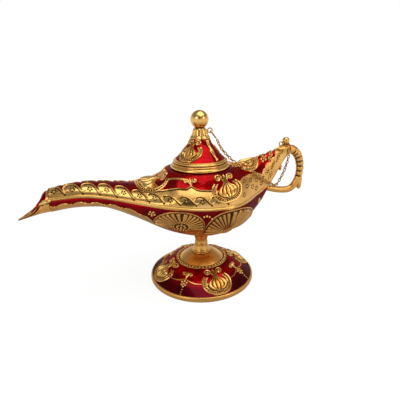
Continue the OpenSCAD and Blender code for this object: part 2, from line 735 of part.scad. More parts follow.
module lid_cap() {
    edge = lid_top_r + 0.4;
    color("gold") turned([
        [stud_r + hole_gap, cap_z], [edge - 0.4, cap_z], [edge, cap_z + 0.5],
        [mix(edge, cap_top_r, 0.45), cap_z + 0.3 * cap_h], [mix(edge, cap_top_r, 0.8), cap_z + 0.62 * cap_h],
        [cap_top_r, cap_z + 0.86 * cap_h], [cap_top_r - 0.6, knob_z], [stud_r + hole_gap, knob_z]
    ]);
}

module knob_ball() {
    color("gold") difference() {
        translate([0, 0, ball_z]) sphere(knob_r, $fn = 96);
        translate([0, 0, ball_z - 2 * knob_r]) cylinder(r = knob_r, h = knob_z - ball_z + 2 * knob_r);
        translate([0, 0, knob_z - 1]) cylinder(r = stud_r + hole_gap, h = knob_r + 1.2);
    }
}

module knob_stud() {
    foot = lid_deck_z - washer_t - stud_nut_h - 1;
    color("silver") translate([0, 0, foot]) cylinder(r = stud_r, h = knob_z + knob_r - foot);
}

module knob_washer() {
    color("silver") translate([0, 0, lid_deck_z - washer_t]) difference() {
        cylinder(r = stud_nut_w + 0.6, h = washer_t);
        translate([0, 0, -1]) cylinder(r = stud_r + hole_gap, h = washer_t + 2);
    }
}

module knob_nut() {
    color("silver") translate([0, 0, lid_deck_z - washer_t - stud_nut_h]) difference() {
        cylinder(r = stud_nut_w * 2 / sqrt(3), h = stud_nut_h, $fn = 6);
        translate([0, 0, -1]) cylinder(r = stud_r + hole_gap, h = stud_nut_h + 2);
    }
}

// The eyelet stands on the cap's side, and the oval link hangs from it
cap_mid_z = cap_z + 0.72 * cap_h;
eye_x = cap_top_r + eye_r + wire_r + 0.5;
module lid_eyelet() {
    color("gold") union() {
        translate([eye_x, 0, cap_mid_z]) rotate([90, 0, 0]) wire_ring(eye_r, wire_r);
        translate([cap_top_r + 0.35, 0, cap_mid_z]) rotate([0, 90, 0])
            cylinder(r = wire_r, h = eye_x - cap_top_r - eye_r - 0.35, $fn = 24);
    }
}

// A slot-shaped ring of wire, straight sides along the local X axis
module slot_ring(l, r, wire) {
    for (end = [0, 1]) mirror([end, 0, 0]) translate([l / 2, 0, 0])
        rotate([0, 0, -90]) rotate_extrude(angle = 180) translate([r, 0]) circle(wire, $fn = 24);
    for (side = [-r, r]) translate([-l / 2, side, 0]) rotate([0, 90, 0]) cylinder(r = wire, h = l, $fn = 24);
}

oval_tilt = 52;
oval_hang = eye_r - 2 * wire_r - 0.1 + oval_l / 2 + oval_w;
oval_mid = [eye_x, 0, cap_mid_z] + oval_hang * [cos(oval_tilt), 0, -sin(oval_tilt)];
module oval_link() {
    color("gold") translate(oval_mid) rotate([0, oval_tilt, 0]) slot_ring(oval_l, oval_w, wire_r);
}

// The chain's route, from the oval link over the near shoulder and through the handle
chain_route = [
    [11.8, 0, 100], [14.4, -0.6, 94.4], [17.6, -2, 90.2], [20.2, -3.6, 87.2], [22.8, -5.6, 84.8],
    [25.6, -8, 82.8], [29, -10.8, 81.4], [33, -13, 79.2], [37, -13.2, 76.6], [41, -12, 73.6],
    [45, -10.6, 70.8], [49, -8.8, 68.2], [52.5, -6.5, 66.2], [55.4, -3.6, 65.3], [57.8, -1.6, 66],
    [59.6, -1.8, 69.5], [61.2, -2.4, 73.5], [62.4, -3, 78], [63, -4, 82.5], [63.4, -4.8, 87],
    [63.5, -4.7, 89.6], [63.5, -4.1, 92.4]
];
chain_sides = 8;
module chain() {
    last = len(chain_route) - 1;
    rings = [for (i = [0:last])
        let (
            d = chain_route[min(i + 1, last)] - chain_route[max(i - 1, 0)], t = d / norm(d),
            side = cross(t, [0, 1, 0]) / norm(cross(t, [0, 1, 0])), up = cross(side, t)
        )
        [for (j = [0:chain_sides - 1])
            let (a = 360 * j / chain_sides)
            chain_route[i] + chain_d / 2 * (cos(a) * side - sin(a) * up)]];
    color("gold") loft(rings);
}

module foot_bolt() {
    top = boss_floor + washer_t + bolt_nut_h + 1.5;
    head = foot_floor_z - washer_t;
    color("silver") union() {
        translate([0, 0, head - eps]) cylinder(r = bolt_r, h = top - head + eps);
        translate([0, 0, head - bolt_head_h]) cylinder(r = bolt_head_w, h = bolt_head_h);
    }
}

module foot_washer() {
    color("silver") translate([0, 0, foot_floor_z - washer_t]) difference() {
        cylinder(r = bolt_head_w + 1.2, h = washer_t);
        translate([0, 0, -1]) cylinder(r = bolt_r + hole_gap, h = washer_t + 2);
    }
}

module bowl_washer() {
    color("silver") translate([0, 0, boss_floor]) difference() {
        cylinder(r = ferrule_r - 0.4, h = washer_t);
        translate([0, 0, -1]) cylinder(r = bolt_r + hole_gap, h = washer_t + 2);
    }
}

module bowl_nut() {
    color("silver") translate([0, 0, boss_floor + washer_t]) difference() {
        cylinder(r = bolt_nut_w * 2 / sqrt(3), h = bolt_nut_h, $fn = 6);
        translate([0, 0, -1]) cylinder(r = bolt_r + hole_gap, h = bolt_nut_h + 2);
    }
}

foot_rim();
foot_cone();
foot_dome();
dome_bead_ring();
stem_knop();
stem_ferrule();
lower_shell();
upper_shell();
ridge_strips();
spout_nozzle();
nozzle_bosses();
neck_collar();
handle_loop();
tail_finial();
tail_eyelet();
tail_ring();
lid_cone();
lid_rim_bead();
lid_skirt();
lid_cap();
knob_ball();
knob_stud();
knob_washer();
knob_nut();
lid_eyelet();
oval_link();
chain();
foot_bolt();
foot_washer();
bowl_washer();
bowl_nut();
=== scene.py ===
"""Looks of an ornamental oil lamp: gilt castings, red enamel, laid-on relief and a link chain.

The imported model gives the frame. Pieces are modelled in millimetres along the frame's own axes
(+Z up, the spout towards -X, the handle towards +X) and turned to metres when they are finished.
Relief is drawn flat, with x and y in the surface and z as the height above it, and is then laid
on the curved form that carries it.
"""

import logging
import math
from dataclasses import dataclass, field
from enum import Enum
from typing import Callable, Optional, Protocol, Sequence

import bmesh
import bpy
import numpy as np
from mathutils import Matrix, Vector


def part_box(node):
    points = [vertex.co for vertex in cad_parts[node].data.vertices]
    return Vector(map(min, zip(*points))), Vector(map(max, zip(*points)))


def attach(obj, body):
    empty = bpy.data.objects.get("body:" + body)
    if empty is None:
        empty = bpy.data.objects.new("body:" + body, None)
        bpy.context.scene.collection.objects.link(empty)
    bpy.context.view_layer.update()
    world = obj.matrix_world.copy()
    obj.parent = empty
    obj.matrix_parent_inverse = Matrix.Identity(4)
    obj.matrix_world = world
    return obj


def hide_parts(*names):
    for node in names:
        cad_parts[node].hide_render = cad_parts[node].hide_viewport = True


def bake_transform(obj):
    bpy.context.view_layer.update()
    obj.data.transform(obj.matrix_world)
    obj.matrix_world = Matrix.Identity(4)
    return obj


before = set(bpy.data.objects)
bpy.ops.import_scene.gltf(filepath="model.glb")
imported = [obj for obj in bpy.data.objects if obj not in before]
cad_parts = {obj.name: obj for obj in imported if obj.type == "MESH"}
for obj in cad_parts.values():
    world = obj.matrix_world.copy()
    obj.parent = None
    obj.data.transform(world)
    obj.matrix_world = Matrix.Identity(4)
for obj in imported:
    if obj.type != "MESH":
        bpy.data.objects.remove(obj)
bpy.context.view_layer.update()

MM = 0.001
MERGE_MM = 1e-4
SINK_MM = 0.25
PLATE_MM = 0.32
GROUND_MM = 0.3
LINE_RISE_MM = 0.44
TURN_STEPS = 144

log = logging.getLogger("lamp")

class Body(Enum):
    """The two rigid bodies of the frame."""

    LAMP = "lamp"
    LID = "lid"


class Slot(Enum):
    """The material slots that pieces take their finish from."""

    GILT = "gilt"
    ENAMEL = "enamel"
    FASTENER = "fastener"


def log_piece(name: str, faces: int) -> None:
    """Reports one finished piece."""
    log.info("%s: %d faces", name, faces)


# Curves


def mix(a: float, b: float, t: np.ndarray) -> np.ndarray:
    """Blends from a to b as t goes from 0 to 1."""
    return a + (b - a) * t


def ease(t: np.ndarray) -> np.ndarray:
    """A smooth step from 0 to 1, held at its ends."""
    c = np.clip(t, 0.0, 1.0)
    return c * c * (3 - 2 * c)


def bell(x: np.ndarray, spread: float, power: float) -> np.ndarray:
    """A flat-topped bell that is 1 at zero."""
    return np.exp(-np.power(np.abs(x) / spread, power))


def curve(knots: Sequence[tuple[float, float]], x: np.ndarray) -> np.ndarray:
    """A smooth curve through knots, each (place, height).

    Args:
        knots: places in rising order, with the height at each.
        x: the places that are wanted.

    Returns:
        The heights there.
    """
    xs, ys = np.array(knots, float).T
    last = len(xs) - 1
    low = np.maximum(np.arange(last + 1) - 1, 0)
    high = np.minimum(np.arange(last + 1) + 1, last)
    slope = (ys[high] - ys[low]) / (xs[high] - xs[low])
    i = np.clip(np.searchsorted(xs, x, side="right") - 1, 0, last - 1)
    span = xs[i + 1] - xs[i]
    t = (np.asarray(x, float) - xs[i]) / span
    rising = ys[i] * (1 + 2 * t) * (1 - t) ** 2 + span * slope[i] * t * (1 - t) ** 2
    return rising + ys[i + 1] * t * t * (3 - 2 * t) + span * slope[i + 1] * t * t * (t - 1)


def through(points: Sequence[Sequence[float]], per_leg: int = 6) -> np.ndarray:
    """A smooth path through points of any dimension.

    Args:
        points: the points to pass.
        per_leg: steps between one point and the next.

    Returns:
        The path's points, one a row.
    """
    p = np.array(points, float)
    p = np.vstack([2 * p[0] - p[1], p, 2 * p[-1] - p[-2]])
    rows = []
    for i in range(1, len(p) - 2):
        t = np.linspace(0, 1, per_leg, endpoint=False)[:, None]
        a, b, c, d = p[i - 1], p[i], p[i + 1], p[i + 2]
        square, cube = 2 * a - 5 * b + 4 * c - d, 3 * b - a - 3 * c + d
        rows.append(0.5 * (2 * b + (c - a) * t + square * t**2 + cube * t**3))
    return np.vstack([*rows, p[-2:-1]])


def scroll(
    centre: tuple[float, float], start_r: float, end_r: float, start_deg: float, sweep_deg: float
) -> np.ndarray:
    """A flat spiral that winds in from start_r to end_r."""
    t = np.linspace(0, 1, max(8, int(abs(sweep_deg) / 18)))
    a = np.radians(start_deg + sweep_deg * t)
    r = mix(start_r, end_r, t)
    return np.stack([centre[0] + r * np.cos(a), centre[1] + r * np.sin(a)], -1)


def full_turn(steps: int) -> np.ndarray:
    """The angles of one turn."""
    return np.linspace(0, 2 * math.pi, steps, endpoint=False)


def oval(half_x: float, half_y: float, steps: int) -> np.ndarray:
    """A closed oval in the x-y plane."""
    a = full_turn(steps)
    return np.stack([half_x * np.cos(a), half_y * np.sin(a), 0 * a], -1)


def run_along(path: np.ndarray) -> np.ndarray:
    """The distance along a path at each of its points."""
    return np.concatenate([[0.0], np.cumsum(np.linalg.norm(np.diff(path, axis=0), axis=1))])


def beside(path: np.ndarray) -> np.ndarray:
    """The direction square to a flat path at each of its points."""
    ahead = np.gradient(path, axis=0)
    ahead /= np.maximum(np.linalg.norm(ahead, axis=1), 1e-9)[:, None]
    return np.stack([-ahead[:, 1], ahead[:, 0]], -1)


def pair(path: np.ndarray) -> tuple[np.ndarray, np.ndarray]:
    """A flat path and its mirror image in the y axis."""
    return path, path * np.array([-1.0, 1.0])


# Mesh tools


def loft(bm: bmesh.types.BMesh, rings: np.ndarray, capped: bool = True) -> list[bmesh.types.BMVert]:
    """Wraps a grid round a row of closed rings.

    Args:
        bm: the mesh that is added to.
        rings: an array of rings, points of a ring and x, y, z.
        capped: whether the two ends are closed.

    Returns:
        The vertices that were made.
    """
    rows, around = rings.shape[:2]
    made = bmesh.ops.create_grid(bm, x_segments=around, y_segments=rows - 1, size=1.0)["verts"]
    for k, vert in enumerate(made):
        row, column = divmod(k, around + 1)
        vert.co = rings[row, column % around]
    bmesh.ops.remove_doubles(bm, verts=made, dist=MERGE_MM)
    live = [v for v in made if v.is_valid]
    if capped:
        rim = dict.fromkeys(e for v in live for e in v.link_edges if e.is_boundary)
        bmesh.ops.holes_fill(bm, edges=list(rim), sides=0)
    return live


def turn_profile(bm: bmesh.types.BMesh, profile: Sequence[tuple[float, float]], steps: int = 96) -> None:
    """Spins a closed outline of (radius, height) points round the Z axis."""
    verts = [bm.verts.new((r, 0.0, z)) for r, z in profile]
    edges = [bm.edges.new((verts[i - 1], verts[i])) for i in range(len(verts))]
    bmesh.ops.spin(
        bm, geom=verts + edges, cent=(0, 0, 0), axis=(0, 0, 1), angle=2 * math.pi, steps=steps, use_merge=True
    )


def soften(
    profile: Sequence[tuple[float, float]], radius: float, steps: int = 3
) -> list[tuple[float, float]]:
    """Rounds the corners of a closed outline with arcs of up to that radius."""
    p = np.array(profile, float)
    out: list[tuple[float, float]] = []
    for i, corner in enumerate(p):
        back, ahead = p[i - 1] - corner, p[(i + 1) % len(p)] - corner
        cut = min(radius, np.linalg.norm(back) * 0.45, np.linalg.norm(ahead) * 0.45)
        a = corner + back / np.linalg.norm(back) * cut
        b = corner + ahead / np.linalg.norm(ahead) * cut
        for t in np.linspace(0, 1, steps + 1):
            out.append(tuple((1 - t) ** 2 * a + 2 * t * (1 - t) * corner + t * t * b))
    return out


def tube(
    bm: bmesh.types.BMesh, path: np.ndarray, radius: np.ndarray, sides: int = 8, closed: bool = False
) -> None:
    """Sweeps a round bar along a path in space.

    Args:
        bm: the mesh that is added to.
        path: the path's points.
        radius: one radius, or one for each point.
        sides: sides of the bar.
        closed: whether the path joins its own start.
    """
    last = len(path) - 1
    radius = np.broadcast_to(radius, (len(path),))
    angle = full_turn(sides)
    rings = []
    lead: Optional[np.ndarray] = None
    for i, point in enumerate(path):
        before = path[(i - 1) % len(path)] if closed else path[max(i - 1, 0)]
        after = path[(i + 1) % len(path)] if closed else path[min(i + 1, last)]
        ahead = (after - before) / np.linalg.norm(after - before)
        if lead is None:
            lead = np.array([0.0, 1.0, 0.0]) if abs(ahead[1]) < 0.9 else np.array([1.0, 0.0, 0.0])
        across = np.cross(ahead, lead)
        across /= np.linalg.norm(across)
        lead = np.cross(across, ahead)
        rings.append(point + radius[i] * (np.cos(angle)[:, None] * lead + np.sin(angle)[:, None] * across))
    if closed:
        rings.append(rings[0])
    loft(bm, np.array(rings), capped=not closed)


def ball(
    bm: bmesh.types.BMesh, centre: Sequence[float], radius: float, around: int, rows: int, widen: float = 1.0
) -> None:
    """Adds a ball of that many segments, widened along Y."""
    matrix = Matrix.Translation(centre) @ Matrix.Diagonal((1, widen, 1, 1))
    bmesh.ops.create_uvsphere(bm, u_segments=around, v_segments=rows, radius=radius, matrix=matrix)


def rod(radius: float, length: float, matrix: Matrix, segments: int) -> bmesh.types.BMesh:
    """A solid cylinder along the matrix's Z axis, with its middle at the matrix's place."""
    bm = bmesh.new()
    bmesh.ops.create_cone(
        bm, cap_ends=True, segments=segments, radius1=radius, radius2=radius, depth=length, matrix=matrix
    )
    return bm


def stepped(
    r: float, z: float, tall: float, points: Sequence[tuple[float, float]]
) -> list[tuple[float, float]]:
    """A moulding's points, each given as (out from r, share of the height)."""
    return [(r + out, z + share * tall) for out, share in points]


def mirror_across(bm: bmesh.types.BMesh) -> None:
    """Adds the far side's copy of everything in the mesh."""
    copy = bmesh.ops.duplicate(bm, geom=bm.verts[:] + bm.edges[:] + bm.faces[:])["geom"]
    verts = [g for g in copy if isinstance(g, bmesh.types.BMVert)]
    bmesh.ops.scale(bm, vec=(1, -1, 1), verts=verts)


def to_mesh(bm: bmesh.types.BMesh, name: str) -> bpy.types.Mesh:
    """Turns a bmesh into mesh data and uses it up."""
    mesh = bpy.data.meshes.new(name)
    bm.to_mesh(mesh)
    bm.free()
    return mesh


def pour(source: bmesh.types.BMesh, target: bmesh.types.BMesh) -> None:
    """Adds one bmesh to another and uses it up."""
    mesh = to_mesh(source, "poured")
    target.from_mesh(mesh)
    bpy.data.meshes.remove(mesh)


def put(name: str, data: bpy.types.ID) -> bpy.types.Object:
    """Puts data into the scene as an object."""
    made = bpy.data.objects.new(name, data)
    bpy.context.scene.collection.objects.link(made)
    return made


def finish(
    bm: bmesh.types.BMesh,
    name: str,
    materials: Sequence[bpy.types.Material],
    replaces: Sequence[str] = (),
    body: Optional[Body] = Body.LAMP,
    sharp_deg: float = 42.0,
) -> bpy.types.Object:
    """Turns a mesh in millimetres into a piece of the lamp.

    Args:
        bm: the mesh, which is used up.
        name: the piece's name.
        materials: its finishes, in the order of its faces' indices.
        replaces: the nodes that it stands for.
        body: the body that it rides on, or None for a piece that rides on no body.
        sharp_deg: the angle past which an edge stays sharp.

    Returns:
        The piece.
    """
    bmesh.ops.remove_doubles(bm, verts=bm.verts, dist=MERGE_MM)
    bmesh.ops.recalc_face_normals(bm, faces=bm.faces)
    bmesh.ops.scale(bm, vec=(MM, MM, MM), verts=bm.verts)
    mesh = to_mesh(bm, name)
    for material in materials:
        mesh.materials.append(material)
    mesh.shade_smooth()
    mesh.set_sharp_from_angle(angle=math.radians(sharp_deg))
    piece = put(name, mesh)
    if body:
        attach(piece, body.value)
    if replaces:
        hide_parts(*replaces)
    log_piece(name, len(mesh.polygons))
    return piece


def turned_piece(
    name: str,
    profile: Sequence[tuple[float, float]],
    material: bpy.types.Material,
    node: str,
    body: Body = Body.LAMP,
    soft: float = 0.0,
    corner_steps: int = 3,
    steps: int = TURN_STEPS,
    sharp_deg: float = 42.0,
) -> None:
    """Makes a piece by turning a closed profile.

    Args:
        name: the piece's name.
        profile: its (radius, height) points.
        material: its finish.
        node: the node that it stands for.
        body: the body that it rides on.
        soft: the radius that rounds its corners, if any.
        corner_steps: steps of each rounded corner.
        steps: steps round the axis.
        sharp_deg: the angle past which an edge stays sharp.
    """
    bm = bmesh.new()
    turn_profile(bm, soften(profile, soft, corner_steps) if soft else profile, steps)
    finish(bm, name, [material], [node], body, sharp_deg)


def cut(
    piece: bpy.types.Object, cutter: bmesh.types.BMesh, lining: Optional[bpy.types.Material] = None
) -> None:
    """Takes the cutter's volume out of a piece and throws the cutter away.

    Args:
        piece: the piece that is cut.
        cutter: the volume in millimetres, which is used up.
        lining: the finish of the cut's own faces, if it isn't the piece's.
    """
    bmesh.ops.recalc_face_normals(cutter, faces=cutter.faces)
    bmesh.ops.scale(cutter, vec=(MM, MM, MM), verts=cutter.verts)
    mesh = to_mesh(cutter, "cutter")
    mesh.materials.append(lining or piece.data.materials[0])
    tool = put("cutter", mesh)
    modifier = piece.modifiers.new("cut", "BOOLEAN")
    modifier.material_mode = "TRANSFER"
    modifier.object = tool
    modifier.operation = "DIFFERENCE"
    modifier.solver = "EXACT"
    depsgraph = bpy.context.evaluated_depsgraph_get()
    result = bpy.data.meshes.new_from_object(piece.evaluated_get(depsgraph))
    piece.modifiers.clear()
    old, piece.data = piece.data, result
    result.name = piece.name
    bpy.data.objects.remove(tool)
    bpy.data.meshes.remove(mesh)
    bpy.data.meshes.remove(old)


# Finishes


class NodeSheet:
    """The node tree of a material or the world, with a short way to add and link nodes."""

    def __init__(self, owner: bpy.types.ID) -> None:
        """Empties the owner's tree."""
        owner.use_nodes = True
        self.owner = owner
        self.tree = owner.node_tree
        self.tree.nodes.clear()
        self.coordinates = self.add("ShaderNodeTexCoord").outputs
        self.place = self.coordinates["Object"]

    def add(self, kind: str, inputs: Optional[dict] = None, **settings: object) -> bpy.types.Node:
        """Adds a node.

        Args:
            kind: the node's type.
            inputs: values or sockets for its inputs, by name or number.
            settings: its own settings.

        Returns:
            The node.
        """
        node = self.tree.nodes.new(kind)
        for key, value in settings.items():
            setattr(node, key, value)
        for key, value in (inputs or {}).items():
            if isinstance(value, bpy.types.NodeSocket):
                self.tree.links.new(value, node.inputs[key])
            else:
                node.inputs[key].default_value = value
        return node

    def noise(self, size_mm: float, detail: float = 2.0, roughness: float = 0.5) -> bpy.types.NodeSocket:
        """Cloudy noise from 0 to 1 with features of about that size."""
        inputs = {"Vector": self.place, "Scale": 1 / (size_mm * MM), "Detail": detail, "Roughness": roughness}
        return self.add("ShaderNodeTexNoise", inputs).outputs["Fac"]

    def span(
        self,
        value: bpy.types.NodeSocket,
        low: float,
        high: float,
        to_low: float,
        to_high: float,
        **settings: str,
    ) -> bpy.types.NodeSocket:
        """Maps low..high to to_low..to_high, held at the ends."""
        inputs = {"Value": value, "From Min": low, "From Max": high, "To Min": to_low, "To Max": to_high}
        return self.add("ShaderNodeMapRange", inputs, **settings).outputs["Result"]

    def blend(self, share: bpy.types.NodeSocket, a: object, b: object) -> bpy.types.NodeSocket:
        """Mixes two colours, or sockets of colour."""
        node = self.add("ShaderNodeMix", {"Factor": share}, data_type="RGBA")
        for key, value in (("A", a), ("B", b)):
            socket = [s for s in node.inputs if s.name == key and s.type == "RGBA"][0]
            if isinstance(value, bpy.types.NodeSocket):
                self.tree.links.new(value, socket)
            else:
                socket.default_value = (*value, 1.0)
        return [s for s in node.outputs if s.type == "RGBA"][0]

    def calc(self, operation: str, a: object, b: object) -> bpy.types.NodeSocket:
        """One step of arithmetic on two numbers, or sockets of them."""
        return self.add("ShaderNodeMath", {0: a, 1: b}, operation=operation).outputs[0]

    def bump(self, height: bpy.types.NodeSocket, depth_mm: float) -> bpy.types.NodeSocket:
        """A bumped normal from a height of 0 to 1."""
        inputs = {"Height": height, "Distance": depth_mm * MM, "Strength": 1.0}
        return self.add("ShaderNodeBump", inputs).outputs[0]

    def close(self, shader: bpy.types.Node, output: str = "ShaderNodeOutputMaterial") -> bpy.types.ID:
        """Links the shader to the output and returns the tree's owner."""
        self.add(output, {"Surface": shader.outputs[0]})
        return self.owner

    def principled(self, inputs: dict) -> bpy.types.ID:
        """Ends the tree in a principled shader."""
        return self.close(self.add("ShaderNodeBsdfPrincipled", inputs))


@dataclass(frozen=True)
class Gilt:
    """Gold plate over a casting, whose creases, found by ambient occlusion, are darkened: partly a dark wash,
    partly painted shade.
    """

    name: str
    colour: tuple[float, float, float] = (0.9, 0.55, 0.175)
    deep: tuple[float, float, float] = (0.8, 0.44, 0.11)
    wash_and_shade: tuple[float, float, float] = (0.07, 0.022, 0.004)
    roughness: float = 0.16
    crease_reach_mm: float = 0.9
    crease_share: float = 0.9
    grain_mm: float = 0.0
    grain_depth_mm: float = 0.0

    def build(self) -> bpy.types.Material:
        """Makes the material."""
        sheet = NodeSheet(bpy.data.materials.new(self.name))
        cloud = sheet.span(sheet.noise(9.0, 3.0), 0.35, 0.7, 0.0, 1.0)
        metal = sheet.blend(cloud, self.colour, self.deep)
        reach = {"Distance": self.crease_reach_mm * MM}
        # Painted shade and wash: creases found by ambient occlusion are darkened, in patches.
        crease = sheet.add("ShaderNodeAmbientOcclusion", reach, samples=6).outputs["AO"]
        patchy = sheet.span(sheet.noise(1.4, 2.0), 0.3, 0.75, 0.65, 1.0)
        crease_wash_and_shade = sheet.calc("MULTIPLY", sheet.span(crease, 0.82, 0.38, 0.0, self.crease_share), patchy)
        colour = sheet.blend(crease_wash_and_shade, metal, self.wash_and_shade)
        smooth = sheet.span(sheet.noise(4.0, 3.0), 0.3, 0.7, self.roughness * 0.85, self.roughness * 1.25)
        rough = sheet.calc("ADD", smooth, sheet.calc("MULTIPLY", crease_wash_and_shade, 0.3))
        if self.grain_mm:
            inputs = {"Vector": sheet.place, "Scale": 1 / (self.grain_mm * MM)}
            grain = sheet.add("ShaderNodeTexVoronoi", inputs).outputs["Distance"]
            normal = sheet.bump(grain, self.grain_depth_mm)
        else:
            normal = sheet.bump(sheet.noise(2.2, 1.0), 0.012)
        inputs = {"Base Color": colour, "Metallic": 1.0, "Roughness": rough, "Normal": normal}
        return sheet.principled(inputs)


@dataclass(frozen=True)
class Enamel:
    """Glossy translucent red over bright metal: a clear coat on a coloured, slightly rippled ground."""

    name: str
    bright: tuple[float, float, float] = (0.46, 0.0, 0.001)
    pooled_and_shaded: tuple[float, float, float] = (0.19, 0.0, 0.003)
    metallic: float = 0.94
    roughness: float = 0.22
    shade_z_mm: tuple[float, float] = (-1.0, 0.0)

    def build(self) -> bpy.types.Material:
        """Makes the material; below the first height it is darker, painted shade that fades out up to the
        second, and random clouds of the darker red lie over it too.
        """
        sheet = NodeSheet(bpy.data.materials.new(self.name))
        height = sheet.add("ShaderNodeSeparateXYZ", {0: sheet.place}).outputs["Z"]
        # Painted shade: the red darkens below the first height.
        low = sheet.span(height, self.shade_z_mm[0] * MM, self.shade_z_mm[1] * MM, 1.0, 0.0)
        cloud = sheet.span(sheet.noise(7.0, 3.0), 0.35, 0.68, 0.0, 1.0)
        pool_and_shade = sheet.calc("MAXIMUM", low, cloud)
        colour = sheet.blend(pool_and_shade, self.bright, self.pooled_and_shaded)
        ripple = sheet.bump(sheet.noise(1.6, 2.0), 0.09)
        inputs = {
            "Base Color": colour, "Metallic": self.metallic, "Roughness": self.roughness, "Normal": ripple,
            "Specular Tint": (0.4, 0.02, 0.03, 1.0), "Coat Weight": 0.17, "Coat Roughness": 0.05,
            "Coat IOR": 1.4,
        }
        return sheet.principled(inputs)


@dataclass(frozen=True)
class Patina:
    """Dull brown metal: the dark laid beside, between and under raised work as painted shade, the dark punched
    dots, and the duller ground under raised work.
    """

    name: str
    colour: tuple[float, float, float] = (0.06, 0.023, 0.006)
    roughness: float = 0.5

    def build(self) -> bpy.types.Material:
        """Makes the material."""
        sheet = NodeSheet(bpy.data.materials.new(self.name))
        shade = sheet.blend(sheet.noise(1.2), self.colour, tuple(1.6 * c for c in self.colour))
        inputs = {"Base Color": shade, "Metallic": 1.0, "Roughness": self.roughness}
        return sheet.principled(inputs)


@dataclass(frozen=True)
class Steel:
    """Zinc-plated steel with a fine turned grain."""

    name: str
    colour: tuple[float, float, float] = (0.62, 0.62, 0.64)

    def build(self) -> bpy.types.Material:
        """Makes the material."""
        sheet = NodeSheet(bpy.data.materials.new(self.name))
        shade = sheet.blend(sheet.noise(2.5), self.colour, tuple(0.75 * c for c in self.colour))
        rough = sheet.span(sheet.noise(0.7), 0.3, 0.7, 0.25, 0.45)
        inputs = {"Base Color": shade, "Metallic": 1.0, "Roughness": rough}
        return sheet.principled(inputs)


class Palette:
    """Every finish of the lamp, made once."""

    def __init__(self) -> None:
        """Builds the materials."""
        self.polished = Gilt("gilt_polished", roughness=0.17).build()
        self.relief = Gilt(
            "gilt_relief", colour=(0.95, 0.56, 0.17), roughness=0.2, crease_reach_mm=0.8, crease_share=0.75,
        ).build()
        self.satin = Gilt(
            "gilt_satin", colour=(0.85, 0.45, 0.12), deep=(0.78, 0.39, 0.09), roughness=0.3,
        ).build()
        self.punched = Gilt(
            "gilt_punched", colour=(0.9, 0.51, 0.155), deep=(0.76, 0.4, 0.11), roughness=0.34, grain_mm=0.6,
            grain_depth_mm=0.08,
        ).build()
        self.chain = Gilt(
            "gilt_chain", colour=(0.72, 0.43, 0.13), deep=(0.52, 0.28, 0.07), roughness=0.25,
        ).build()
        # Painted shade: this dark finish lies beside, between and under raised work; it also colours the
        # punched dots.
        self.shade_and_patina = Patina("painted_shade_dark").build()
        self.bronze = Patina("bronze_ground", (0.5, 0.24, 0.06), 0.36).build()
        self.tones = [self.relief, self.shade_and_patina, self.bronze]
        self.enamel = Enamel("red_enamel").build()
        # Painted shade: a darker copy of the red enamel, for the hull and the floor under the tail.
        self.shaded_enamel = Enamel("shaded_red_enamel", (0.3, 0.0, 0.002), (0.14, 0.0, 0.004)).build()
        # Painted shade: the foot's enamel is darker towards the bottom of its cone.
        self.foot_enamel = Enamel(
            "foot_enamel", (0.46, 0.0, 0.002), (0.1, 0.0, 0.004), shade_z_mm=(6.5, 12.5),
        ).build()
        self.brown = Gilt(
            "gilt_brown", colour=(0.82, 0.42, 0.12), deep=(0.62, 0.3, 0.08), roughness=0.3, crease_reach_mm=1.0,
            grain_mm=0.9, grain_depth_mm=0.1,
        ).build()
        self.steel = Steel("plated_steel").build()


# Carriers


